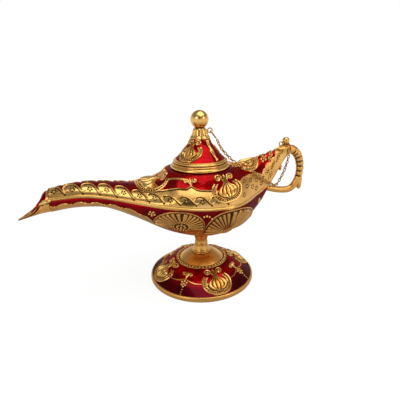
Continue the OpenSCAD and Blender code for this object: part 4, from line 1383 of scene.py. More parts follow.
@dataclass
class Waves:
    """The running scroll along the spout and the shoulder."""

    tips: tuple[float, ...] = (
        -97.2, -86.4, -75.8, -65.9, -56.0, -46.2, -37.5, -29.1, -20.1, -10.8, -1.2, 9.6,
    )
    trough: float = 4.2
    wire_r: float = 0.4
    shadow_w: float = 0.34
    shadow_dot_r: float = 0.66
    crests: tuple[tuple[float, float], ...] = (
        (-97, 11.4), (-84, 11.2), (-72.6, 11.7), (-62.5, 12.4), (-52.3, 12.9), (-42.3, 11.5), (-33.8, 10.2),
        (-25.6, 9.2), (2.4, 9.4), (10, 9.0),
    )
    plate_edge: tuple[tuple[float, float], ...] = (
        (-0.2, 0.4), (-0.16, 0.55), (-0.13, 0.76), (-0.05, 0.87), (0.1, 0.97), (0.3, 1.0), (0.52, 0.84),
        (0.7, 0.55), (0.8, 0.4),
    )

    def crest_at(self, x: np.ndarray) -> np.ndarray:
        """Height of the crests along the lamp."""
        return curve(self.crests, x)

    def line_at(self, x: np.ndarray) -> np.ndarray:
        """The plate's edge: over each crest, down its long back and up to the next front."""
        share = np.interp(x, self.tips, np.arange(len(self.tips)))
        share = (share + 0.2) % 1.0 - 0.2
        return self.trough + (self.crest_at(x) - self.trough) * curve(self.plate_edge, share)

    def draw_lines(self) -> Relief:
        """Draws the raised line of every wave and, inside it, a dark line painted as its shadow, which ends in
        a dark dot painted as a drop shadow.
        """
        relief = Relief()
        wire = [(0.12, 0.24), (0.0, 0.14), (-0.11, 0.3), (-0.15, 0.56), (-0.07, 0.85), (0.1, 0.98),
                (0.3, 1.02), (0.52, 0.86), (0.7, 0.57), (0.85, 0.26), (0.97, 0.05), (1.05, 0.04)]
        shadow_line = [(0.0, 0.62), (0.03, 0.76), (0.13, 0.86), (0.3, 0.89), (0.48, 0.72), (0.64, 0.45),
                  (0.79, 0.14), (0.9, -0.06)]
        for a, b in zip(self.tips[:-1], self.tips[1:]):
            tall = float(self.crest_at(mix(a, b, 0.3))) - self.trough
            raised, sunk = (
                through([(mix(a, b, across), self.trough + up * tall) for across, up in shares], 4)
                for shares in (wire, shadow_line)
            )
            relief.wire(raised, self.wire_r, (0.8, 0.5), lift=0.1)
            # Painted shadow: a dark line along the wave's line and a dark dot at its end.
            relief.shadow_line(sunk, self.shadow_w)
            relief.dot(mix(a, b, 0.95), self.trough - 0.08 * tall, self.shadow_dot_r)
        return relief


@dataclass
class Shoulders:
    """The upper casting of the body: enamel ground, wave band, onions, panels and the tail's work."""

    LINE_LIFT_MM = 0.22
    FLOWER_LIFT_MM = 0.34
    TAIL_LIFT_MM = 0.25
    MARK_LIFT_MM = 0.3

    palette: Palette
    form: BodyForm
    waves: Waves = field(default_factory=Waves)

    def build(self) -> None:
        """Makes the casting and everything that is raised on it."""
        self.side = BodyCarrier(self.form.over, -self.form.joint_x, self.form.tail_x)
        self.crown = CrownCarrier(self.form.over, -self.form.joint_x, self.form.tail_x)
        self.casting()
        self.stern()
        self.wave_band()
        self.wave_lines()
        self.flowers()
        self.ground()
        self.onions()
        self.tail()
        self.strips()

    def casting(self) -> None:
        """The enamelled shell with its filling hole."""
        form = self.form
        tail = np.linspace(form.stern_x, form.tail_x, 24)[1:]
        xs = np.concatenate([np.linspace(-form.joint_x, form.stern_x, 160), tail])
        bm = shell(form.over, xs, form.wall)
        piece = finish(bm, "shoulder_casting", [self.palette.enamel], ["upper_shell"])
        cut(piece, rod(form.neck_r, 24, Matrix.Translation((0, 0, form.seat_z)), 96))

    def stern(self) -> None:
        """The floor under the tail and the wall that closes the hull's end."""
        form = self.form
        bm = bmesh.new()
        xs = np.linspace(form.stern_x - 3, form.tail_x - 0.5, 60)
        half, ridge = form.half_at(xs) - 0.1, form.ridge_at(xs)
        thick = np.minimum(1.2, 0.4 * (form.bowl_z + curve(form.crown_line, xs) - ridge))
        corners = ((-1, 0), (1, 0), (1, 1), (-1, 1))
        edges = [np.stack([xs, side * half, ridge + share * thick], -1) for side, share in corners]
        loft(bm, np.stack(edges, 1))
        xs = np.array([form.stern_x - 1.6, form.stern_x - 0.8, form.stern_x - 0.02])
        loft(bm, form.under(xs[:, None], np.linspace(0, math.pi, 41)[None, :], 0.1))
        # Painted shade: the floor under the tail takes the darker enamel copy.
        finish(bm, "stern_web", [self.palette.shaded_enamel])

    def wave_band(self) -> None:
        """The polished plate under the wave line."""
        plate = Relief()
        xs = np.linspace(-96.6, 8.6, 470)
        plate.slab(xs, 1.0 + strip_shift(xs), self.waves.line_at(xs) - 0.1, PLATE_MM, columns=7)
        relief_piece("wave_band", [self.palette.polished], [(plate, self.side, ORIGIN)])

    def wave_lines(self) -> None:
        """The raised wave lines."""
        lines = self.waves.draw_lines()
        relief_piece("wave_lines", self.palette.tones, [(lines, Lifted(self.side, self.LINE_LIFT_MM), ORIGIN)])

    def flowers(self) -> None:
        """The punched flower under each crest."""
        spots = []
        for a, b in zip(self.waves.tips[:-1], self.waves.tips[1:]):
            x = mix(a, b, 0.36)
            up = self.waves.trough + 0.36 * (float(self.waves.crest_at(x)) - self.waves.trough)
            spots.append(Spot(x, up, scale=mix(1.3, 1.1, (x + 97) / 100)))
        carrier = Lifted(self.side, self.FLOWER_LIFT_MM)
        relief_piece("wave_flowers", self.palette.tones, [(Florets.sunk(), carrier, spots)])

    def ogee_at(self, x: np.ndarray) -> np.ndarray:
        """The bracket-shaped upper edge of the punched ground."""
        edge = [(-42, 11.2), (-37, 11.9), (-33, 12.6), (-27.6, 13.7), (-20.3, 14.4), (-15.2, 14.5),
                (-12.4, 16.6), (-9.6, 14.3), (-3.9, 13.5), (2, 13.2)]
        return curve(edge, x)

    def panel_at(self, x: np.ndarray) -> np.ndarray:
        """The upper edge of the punched panel that runs to the stern."""
        edge = [(2, 4.0), (10, 7.0), (16, 11.5), (20.5, 15.8), (23.7, 17.6), (27.4, 17.6), (32.6, 16.4),
                (40.4, 12.3), (46.2, 6.4), (49, 2.6)]
        return curve(edge, x)

    def ground(self) -> None:
        """The punched gold between the waves and the ogee, the panel behind it, and their raised lines."""
        plates = Relief()
        xs = np.linspace(-41.5, 2.0, 180)
        waves = self.waves.line_at(xs)
        plates.slab(xs, waves - 0.5, np.maximum(self.ogee_at(xs), waves - 0.3), GROUND_MM)
        xs = np.linspace(3.0, 49, 120)
        plates.slab(xs, np.full_like(xs, 1.0), self.panel_at(xs), GROUND_MM, columns=9)
        relief_piece("shoulder_ground", [self.palette.punched], [(plates, self.side, ORIGIN)])
        lines = Relief()
        point = [-13.6, -12.4, -11.2]
        xs = np.concatenate([np.linspace(-41.5, -15.2, 40), point, np.linspace(-9.6, 1.0, 16)])
        lines.wire(np.stack([xs, self.ogee_at(xs)], -1), 0.45, (0.5, 0.8), lift=0.2)
        # Painted shadow: a dark line under the ogee's wire.
        lines.shadow_line(np.stack([xs, self.ogee_at(xs) - 0.85], -1), 0.4, LINE_RISE_MM)
        xs = np.linspace(17, 48.5, 48)
        lines.wire(np.stack([xs, self.panel_at(xs)], -1), 0.36, (0.6, 0.5))
        self.rope(lines)
        fleur = (Fleur().draw(0), self.side, [Spot(-12.3, 16.8, scale=1.15)])
        relief_piece("shoulder_lines", self.palette.tones, [(lines, self.side, ORIGIN), fleur])

    def rope(self, relief: Relief) -> None:
        """A twisted pair of wires from the spout's onion to the fleur."""
        t = np.linspace(0, 1, 60)
        x = mix(-24.6, -13.4, t)
        up = mix(23.6, 20.6, t)
        for phase in (0.0, math.pi):
            swing = 0.4 * np.sin(2 * math.pi * 6 * t + phase)
            relief.wire(np.stack([x, up + swing], -1), 0.48, (0.6, 0.6), 6, lift=0.1)

    def onions(self) -> None:
        """The four large motifs round the neck."""
        onion = Onion().draw()
        spout_onion = Onion(half_w=14.2, bulb_share=1.65, cup_share=1.42).draw()
        relief_piece(
            "shoulder_onions", self.palette.tones,
            sides=[(onion, self.side, [Spot(11.0, 5.2, turn_deg=6, scale=1.02, widen=1.04)])],
            middle=[
                (onion, self.crown, [Spot(0, 40.5, turn_deg=180, scale=1.12)]),
                (spout_onion, self.crown, [Spot(0, -43.9, scale=1.13)]),
            ],
        )

    def tail(self) -> None:
        """The tail's gilt border, its florets and its gilt end."""
        border = Relief()
        xs = np.linspace(40, 64.5, 150)
        half = self.side.total(xs) / 2
        edge = curve([(40, 9.0), (44, 14.2), (48, 15.4), (52, 13.6), (56, 12.4), (60, 11.5), (65, 10.0)], xs)
        scallop = 1.3 * np.abs(np.sin(math.pi * (xs - 40) / 4.4))
        closing = mix(edge + scallop, half + 0.05, ease((xs - 53) / 2.4))
        border.slab(xs, np.full_like(xs, 0.6), np.minimum(closing, half + 0.05), GROUND_MM, columns=8)
        relief_piece("tail_border", [self.palette.punched], [(border, self.side, ORIGIN)])
        lines = Relief()
        lines.wire(np.stack([xs, np.minimum(closing, half - 0.4)], -1)[:88], 0.34, (0.6, 0.6))
        flowers = [Spot(44.8, 21.6, scale=1.25), Spot(50.2, 18.6, scale=1.1), Spot(39.6, 25.4)]
        border_flowers = [Spot(46.4, 11.4), Spot(51.2, 10.4), Spot(55.6, 9.0), Spot(59.8, 8.2),
                          Spot(41.6, 9.6), Spot(57.6, 13.0, scale=0.8), Spot(48.8, 6.6)]
        marks = [Spot(25.5, 10.6), Spot(30.5, 8.2), Spot(29.6, 13.2), Spot(35.4, 10.6), Spot(24.2, 14.8),
                 Spot(34.2, 5.6), Spot(40.0, 6.4), Spot(21.6, 6.4)]
        relief_piece("tail_florets", self.palette.tones, [
            (lines, self.side, ORIGIN),
            (Florets.raised(5, 1.5, 0.85), self.side, flowers),
            (Florets.raised(6, 1.45, 0.7, ground=True), Lifted(self.side, self.TAIL_LIFT_MM), border_flowers),
            (self.leaves(), Lifted(self.crown, self.TAIL_LIFT_MM), ORIGIN),
            (Florets.sunk(5, 1.15, 0.48), Lifted(self.side, self.MARK_LIFT_MM), marks),
        ])

    @staticmethod
    def leaves() -> Relief:
        """The three leaves that run up the tail's crown."""
        relief = Relief()
        t = np.linspace(0, 1, 12)
        width = 0.25 + 0.75 * np.sin(math.pi * t) ** 0.7
        for lean in (-1, 0, 1):
            path = np.stack([lean * (0.9 + 1.3 * np.sin(math.pi * t)), mix(54.5, 63.5, t)], -1)
            relief.ribbon(path, width, 0.35 + 0.7 * width, 8)
        return relief

    def strips(self) -> None:
        """The polished moulding along each ridge."""
        form = self.form
        xs = np.linspace(-form.joint_x, form.stern_x - 5, 220)
        section = [(-0.3, -0.5), (0.35, -0.5), (0.5, -0.3), (0.4, -0.1), (0.78, 0.1), (0.95, 0.6),
                   (0.78, 1.1), (0.4, 1.3), (0.45, 1.5), (0.35, 1.7), (-0.3, 1.7)]
        rings = []
        for x in xs:
            half, base = float(form.half_at(x)), float(form.ridge_at(x)) + float(strip_shift(x))
            rings.append([(x, -(half + out), base + up) for out, up in section])
        bm = bmesh.new()
        loft(bm, np.array(rings))
        mirror_across(bm)
        finish(bm, "ridge_mouldings", [self.palette.polished], ["ridge_strips"], sharp_deg=60)


@dataclass
class Fan:
    """A shell-shaped fan on the hull: flutes that spread from a rosette to a scalloped rim."""

    x: float
    girth: float
    left: float
    right: float
    tall: float
    start_deg: float
    end_deg: float
    ribs: int
    rosette: float = 4.2
    power: float = 2.4

    def at(self, angle: np.ndarray, share: np.ndarray) -> np.ndarray:
        """Flat points at a share of the reach; the angle runs from the stern's side to the spout's."""
        c, s = np.cos(angle), np.sin(angle)
        wide = np.where(c > 0, self.right, self.left)
        bulge = [np.sign(v) * np.abs(v) ** (2 / self.power) for v in (c, s)]
        return np.stack([self.x + share * wide * bulge[0], self.girth - share * self.tall * bulge[1]], -1)

    def edge_at(self, x: np.ndarray) -> np.ndarray:
        """Distance from the ridge at which the fan starts, or a large number beside it."""
        wide = np.where(x > self.x, self.right, self.left)
        away = np.clip(np.abs(x - self.x) / wide, 0, 1)
        edge = self.girth - self.tall * (1 - away**self.power) ** (1 / self.power)
        return np.where(away < 1, edge, 1e3)

    def draw(self) -> Relief:
        """Draws a dark ground painted as the shade between the flutes, the flutes, the rim wire, and the
        rosette on a dark disc painted as shade between its beads.
        """
        relief = Relief()
        a0, a1 = math.radians(self.start_deg), math.radians(self.end_deg)
        inner = self.rosette / max(self.left, self.right)
        angles = np.linspace(a0, a1, self.ribs * 4 + 1)
        # Painted shade: a dark plate under the flutes, seen between them.
        relief.slab(angles, np.full_like(angles, inner), np.full_like(angles, 0.99), 0.34, edge=0.02)
        relief.bend(lambda p: np.column_stack([self.at(p[:, 0], p[:, 1]), p[:, 2]]), 0)
        relief.paint(Tone.DARK, 0)
        for k in range(self.ribs):
            a = np.array(mix(a0, a1, (k + 0.5) / self.ribs))
            share = np.linspace(inner, 0.95, 14)
            path = self.at(a, share)
            step = np.linalg.norm(self.at(a + (a1 - a0) / self.ribs, share) - path, axis=1)
            width = np.minimum(step * 0.43, 1.5) * np.minimum(1, 0.35 + (1 - share) * 9)
            relief.ribbon(path, width, 0.5 + 0.5 * width, 8)
        rim = self.at(np.linspace(a0, a1, self.ribs * 6 + 1), np.array(1.0))
        relief.wire(rim, 0.5, (0.7, 0.7))
        # Painted shade: a dark disc under the rosette's beads.
        relief.dot(self.x, self.girth, self.rosette)
        for share, count, size in ((0.86, 16, 0.62), (0.45, 8, 0.85)):
            ring = self.rosette * share
            for k in range(count):
                a = 2 * math.pi * k / count
                relief.bead(self.x + ring * math.cos(a), self.girth + ring * math.sin(a), size, 1.3, 0.3)
        relief.bead(self.x, self.girth, 0.95, 1.4, 0.3)
        return relief


@dataclass
class Hull:
    """The lower casting: red band under the ridge, gold belly with two fans a side."""

    SCALLOP_MM = 9.9
    FAN_LIFT_MM = 0.2

    palette: Palette
    form: BodyForm
    fans: tuple[Fan, ...] = (
        Fan(-19.6, 12.7, 16.0, 13.8, 11.7, start_deg=-12, end_deg=192, ribs=16, rosette=5.3),
        Fan(11.0, 20.4, 16.5, 23.0, 19.6, start_deg=-6, end_deg=186, ribs=18, rosette=3.8),
    )
    boss_r: float = 5.8
    bore_r: float = 2.1

    def build(self) -> None:
        """Makes the hull and its relief."""
        self.side = BodyCarrier(self.form.under, -self.form.joint_x, self.form.stern_x)
        self.casting()
        self.belly()
        self.relief()

    def casting(self) -> None:
        """The enamelled hull, with the boss that the stem bolts to."""
        form = self.form
        bm = shell(form.under, np.linspace(-form.joint_x, form.stern_x, 180), form.wall)
        floor = form.bowl_z + form.keel_low_z + form.wall + 1.2
        bore = self.bore_r
        boss = [(bore, form.bowl_z), (self.boss_r, form.bowl_z), (self.boss_r, floor), (bore, floor)]
        turn_profile(bm, soften(boss, 0.2, 2), 64)
        # Painted shade: the hull takes the darker enamel copy.
        finish(bm, "hull_casting", [self.palette.shaded_enamel], ["lower_shell"])

    def edge_at(self, x: np.ndarray) -> np.ndarray:
        """Distance from the ridge at which the gold starts."""
        line = [(-97, 3.9), (-60, 4.2), (-50, 5.2), (-44, 7.6), (-38, 12.5), (-33, 19.0), (-28, 30.0)]
        low = curve(line, x)
        scallop = low - 2.1 * np.abs(np.sin(math.pi * (x + 94) / self.SCALLOP_MM))
        edges = [np.where(x < -28, scallop, 1e3), *(fan.edge_at(x) for fan in self.fans)]
        return np.minimum.reduce(edges)

    def belly(self) -> None:
        """The gold ground that covers the hull below the red band."""
        ground = Relief()
        xs = np.concatenate([np.linspace(-96.8, -36, 240), np.linspace(-35.9, 35.8, 290)])
        total = self.side.total(xs)
        edge = np.minimum(self.edge_at(xs), total / 2 - 0.3)
        ground.slab(xs, edge, total - edge, PLATE_MM, columns=30)
        relief_piece("hull_belly", [self.palette.brown], middle=[(ground, self.side, ORIGIN)])

    def relief(self) -> None:
        """Fans, the scalloped edge, and the small work on the red band."""
        fans = [(fan.draw(), Lifted(self.side, self.FAN_LIFT_MM), ORIGIN) for fan in self.fans]
        relief_piece("hull_fans", [self.palette.brown, *self.palette.tones[1:]], fans)
        small = Relief()
        xs = np.linspace(-96.5, -36.4, 200)
        small.wire(np.stack([xs, self.edge_at(xs)], -1), 0.3, (0.8, 0.8), 6)
        for k in range(6):
            x = self.SCALLOP_MM * k - 94
            small.bead(x, float(self.edge_at(x)) - 1.1, 0.55, 1.1)
        for t in np.linspace(-1, 1, 5):
            small.bead(-5.0 + 3.4 * t, 2.9 + 2.2 * t * t, 0.95 - 0.2 * abs(t), 1.1)
        small.bead(-9.0, 6.6, 0.5, 1.0)
        bud = np.array([(38.6, 3.4), (38.8, 5.0), (39.0, 6.8), (38.6, 8.2)])
        small.ribbon(bud, np.array([0.3, 0.9, 1.2, 0.3]), np.array([0.4, 0.8, 0.9, 0.3]))
        flower = (Florets.raised(5, 1.6, 0.8), self.side, [Spot(-37.0, 4.2)])
        relief_piece("hull_small_relief", [self.palette.relief], [(small, self.side, ORIGIN), flower])


@dataclass
class Spout:
    """The beak at the end of the spout, with its mouth and bosses."""

    palette: Palette
    form: BodyForm
    length: float = 20.0
    tip_z: float = 24.8
    mouth_r: float = 4.0
    groove_r: float = 2.4
    boss_r: float = 1.7
    tip_half_w: float = 0.7
    enamel_from: float = 0.72

    def __post_init__(self) -> None:
        """Sets out the beak's upper and lower lines."""
        form = self.form
        self.tip_x = -form.joint_x - self.length
        self.lip_x = -form.joint_x - 0.5 * self.length
        self.top_line = [
            (self.tip_x, self.tip_z + 0.5),
            (mix(self.tip_x, self.lip_x, 0.5), mix(self.tip_z, form.ridge_joint_z, 0.3)),
            (self.lip_x, mix(self.tip_z, form.ridge_joint_z, 0.62)),
            (-form.joint_x - 3.3, form.crown_joint_z - 1.8), (-form.joint_x, form.crown_joint_z),
        ]
        self.low_line = [
            (self.tip_x, self.tip_z - 0.4), (self.lip_x, mix(self.tip_z, form.keel_joint_z, 0.6)),
            (-form.joint_x, form.keel_joint_z),
        ]

    def build(self) -> None:
        """Makes the beak and the bosses."""
        self.beak()
        self.bosses()

    def ring(self, x: float, sides: int) -> np.ndarray:
        """One section of the beak."""
        t = (x - self.tip_x) / self.length
        low, top = self.span_at(x)
        ridge = float(self.form.ridge_at(-self.form.joint_x))
        side = mix((low + top) / 2, ridge, float(ease((t - 0.5) / 0.5)))
        a = full_turn(sides)
        s = np.sin(a)
        z = side + np.where(s > 0, top - side, side - low) * s
        depth = 0.3 * float(ease((0.8 - t) / 0.15))
        flutes = depth * ease((0.8 - s) / 0.3) * np.abs(np.sin(4.5 * a)) ** 3
        return np.stack([np.full_like(a, x), self.half_at(x) * (1 - flutes) * np.cos(a), z], -1)

    def span_at(self, x: float) -> tuple[float, float]:
        """Heights of the beak's lower and upper lines."""
        low, top = (self.form.bowl_z + float(curve(line, x)) for line in (self.low_line, self.top_line))
        return low, top

    def half_at(self, x: float) -> float:
        """Half the beak's width."""
        t = (x - self.tip_x) / self.length
        return mix(self.tip_half_w, float(self.form.half_at(-self.form.joint_x)), t**0.75)

    def beak(self) -> None:
        """The beak with its round mouth and the cut channel to the tip."""
        form = self.form
        xs = [*np.linspace(self.tip_x, self.lip_x, 22), *np.linspace(self.lip_x, -form.joint_x, 22)[1:]]
        bm = bmesh.new()
        loft(bm, np.array([self.ring(x, 72) for x in xs]))
        for face in bm.faces:
            at = face.calc_center_median()
            if self.lip_x - 1.5 < at.x < -form.joint_x - 1.2:
                face.material_index = int(at.z > mix(*self.span_at(at.x), self.enamel_from))
        finishes = [self.palette.satin, self.palette.enamel]
        piece = finish(bm, "spout_beak", finishes, ["spout_nozzle"], sharp_deg=35)
        mouth_z = form.bowl_z + mix(form.keel_joint_z, form.crown_joint_z, 0.52)
        mouth = Matrix.Translation((-form.joint_x + 1 - self.length / 2, 0, mouth_z))
        lie = Matrix.Rotation(math.pi / 2, 4, "Y")
        cut(piece, rod(self.mouth_r, self.length, mouth @ lie, 64), self.palette.enamel)
        slope = math.atan2(self.top_line[2][1] - self.top_line[0][1], self.lip_x - self.tip_x)
        start_x = self.tip_x + 3
        start = Matrix.Translation((start_x, 0, self.span_at(start_x)[1] + 0.75 * self.groove_r))
        lean = Matrix.Rotation(math.pi / 2 - slope, 4, "Y") @ Matrix.Translation((0, 0, self.length / 4))
        cut(piece, rod(self.groove_r, self.length / 2, start @ lean, 48))

    def bosses(self) -> None:
        """A turned boss on each side, where the ridge mouldings end, with a bar across it and a dark bar under
        it painted as its shadow.
        """
        bm = bmesh.new()
        r = self.boss_r
        profile = [(0.02, 0), (r, 0), (r, 0.45), (r * 0.9, 0.62), (r * 0.66, 0.6), (r * 0.6, 0.85),
                   (r * 0.3, 1.2), (0.02, 1.25)]
        turn_profile(bm, soften(profile, 0.12, 2), 40)
        x = -self.form.joint_x - r - 0.3
        back = self.half_at(x + r)
        z = float(self.form.ridge_at(-self.form.joint_x)) + 0.7
        lean = Matrix.Translation((x, -back, z)) @ Matrix.Rotation(math.pi / 2, 4, "X")
        bmesh.ops.transform(bm, matrix=lean, verts=bm.verts)
        points = [(x - 3.4, -back + 1.2, z - 1.5), (x, -back - 0.1, z + 0.1), (x + 3.6, -back - 0.5, z + 0.8)]
        bar = through(points, 5)
        thick = curve([(0, 0.4), (0.3, 0.95), (0.8, 0.95), (1, 0.5)], np.linspace(0, 1, len(bar)))
        tube(bm, bar + np.array([0, -0.35, 0.1]), thick, 12)
        # Painted shadow: a dark bar laid just under the polished one.
        start = len(bm.faces)
        tube(bm, bar + np.array([0.2, 0.1, -0.75]), thick * 0.85, 12)
        for face in list(bm.faces)[start:]:
            face.material_index = 1
        mirror_across(bm)
        finishes = [self.palette.polished, self.palette.shade_and_patina]
        finish(bm, "spout_bosses", finishes, ["nozzle_bosses"])


@dataclass
class Lid:
    """The neck's collar and the lid that drops in it."""

    palette: Palette
    form: BodyForm
    collar_h: float = 3.8
    lid_r: float = 18.2
    rim_h: float = 2.3
    cone_h: float = 13.0
    cone_curve: float = 1.35
    top_r: float = 6.5
    wall: float = 1.4
    skirt_l: float = 4.0
    skirt_gap: float = 0.3
    cap_h: float = 6.7
    cap_top_r: float = 4.6
    petals: int = 7
    knob_r: float = 5.95
    bore_r: float = 1.6

    def __post_init__(self) -> None:
        """Works out the heights."""
        self.seat_z = self.form.seat_z
        self.lid_z = self.seat_z + self.collar_h
        self.cone_z = self.lid_z + self.rim_h
        self.cap_z = self.cone_z + self.cone_h
        self.ball_z = self.cap_z + self.cap_h + math.sqrt(self.knob_r**2 - (self.cap_top_r / 2) ** 2)

    def build(self) -> None:
        """Makes the collar and the lid's pieces."""
        self.collar()
        self.rim()
        self.cone()
        self.relief()
        self.cap()
        self.knob()

    def collar(self) -> None:
        """The polished double moulding round the filling hole."""
        r, z, h, n = self.form.collar_r, self.seat_z, self.collar_h, self.form.neck_r
        points = [(-0.8, 0), (-0.15, 0.14), (0, 0.33), (-0.3, 0.53), (-1.0, 0.64), (-1.65, 0.7),
                  (-1.55, 0.78), (-1.3, 0.88), (-1.6, 1)]
        profile = [(n, z), *stepped(r, z, h, points), (n, z + h)]
        turned_piece("neck_moulding", profile, self.palette.polished, "neck_collar", soft=0.3, sharp_deg=60)

    def rim(self) -> None:
        """The lid's rim bead and its skirt."""
        r, z, h = self.lid_r, self.lid_z, self.rim_h
        out = self.form.neck_r - self.skirt_gap
        inner, foot = out - self.wall, z - self.skirt_l
        points = [(-0.6, 0), (0, 0.25), (0, 0.5), (-0.5, 0.7), (-1.1, 0.74), (-1.05, 0.9), (-1.5, 1)]
        profile = [(inner, z), *stepped(r, z, h, points), (inner, z + h)]
        turned_piece(
            "lid_rim_moulding", profile, self.palette.polished, "lid_rim_bead", Body.LID, soft=0.3,
            sharp_deg=60,
        )
        skirt = [(inner, foot), (out - 0.4, foot), (out, foot + 0.5), (out, z), (inner, z)]
        turned_piece(
            "lid_skirt_sleeve", skirt, self.palette.satin, "lid_skirt", Body.LID, soft=0.2, corner_steps=2,
            steps=120,
        )

    def cone_r(self, z: float) -> float:
        """Radius of the enamelled cone."""
        t = (z - self.cone_z) / self.cone_h
        return self.top_r + (self.lid_r - 1.9 - self.top_r) * max(1 - t, 0) ** self.cone_curve

    def slope(self, steps: int = 30) -> list[tuple[float, float]]:
        """The cone's outside from the rim up."""
        return [(self.cone_r(z), z) for z in np.linspace(self.cone_z, self.cap_z, steps + 1)]

    def cone(self) -> None:
        """The enamelled cone, hollow inside."""
        slope = self.slope()
        deck = self.cap_z - 1.2
        inside = [(r - self.wall, z - 0.3) for r, z in slope[1:-3]]
        profile = [(slope[0][0] - 1.5 * self.wall, self.cone_z), *slope, (self.bore_r, self.cap_z),
                   (self.bore_r, deck), (self.cone_r(deck) - self.wall, deck), *inside[::-1]]
        turned_piece("lid_enamel", profile, self.palette.enamel, "lid_cone", Body.LID, steps=120)

    def relief(self) -> None:
        """Two onions and two long leaves on the cone."""
        carrier = TurnedCarrier(self.slope())
        onion, leaf = Onion().draw(), Relief()
        path = np.array([(0, t) for t in np.linspace(0.6, 16.0, 24)])
        outline = [(0, 0.7), (1.2, 1.0), (3.5, 0.6), (8.5, 1.35), (11.0, 0.8), (13.5, 0.95), (16, 1.2)]
        width = curve(outline, path[:, 1])
        leaf.ribbon(path, width, width * 0.8)
        onions = [(onion, TurnedCarrierAt(carrier, way), [Spot(0, 0.5, scale=0.88)]) for way in (-143, 37)]
        leaves = [(leaf, TurnedCarrierAt(carrier, way), ORIGIN) for way in (-60, 120)]
        relief_piece("lid_relief", self.palette.tones, middle=[*onions, *leaves], body=Body.LID)

    def cap(self) -> None:
        """The petalled cap under the knob."""
        edge, top = self.top_r + 0.4, self.cap_top_r
        outline = [(0.0, edge - 0.3), (0.08, edge), (0.3, mix(edge, top, 0.45)), (0.62, mix(edge, top, 0.8)),
                   (0.86, top), (1.0, top - 0.6)]
        a = full_turn(self.petals * 14)
        lobe = 0.82 + 0.18 * np.abs(np.cos(a * self.petals / 2 + 0.9)) ** 0.5
        rings = []
        for share in np.linspace(0, 1, 24):
            r = curve(outline, share) * mix(lobe, 1.0, share**4)
            z = np.full_like(a, self.cap_z + share * self.cap_h)
            rings.append(np.stack([r * np.cos(a), r * np.sin(a), z], -1))
        bm = bmesh.new()
        loft(bm, np.array(rings))
        finish(bm, "lid_cap_petals", [self.palette.relief], ["lid_cap"], Body.LID)

    def knob(self) -> None:
        """The polished ball on top."""
        bm = bmesh.new()
        ball(bm, (0, 0, self.ball_z), self.knob_r, 64, 40)
        finish(bm, "knob_ball_polished", [self.palette.polished], ["knob_ball"], Body.LID)


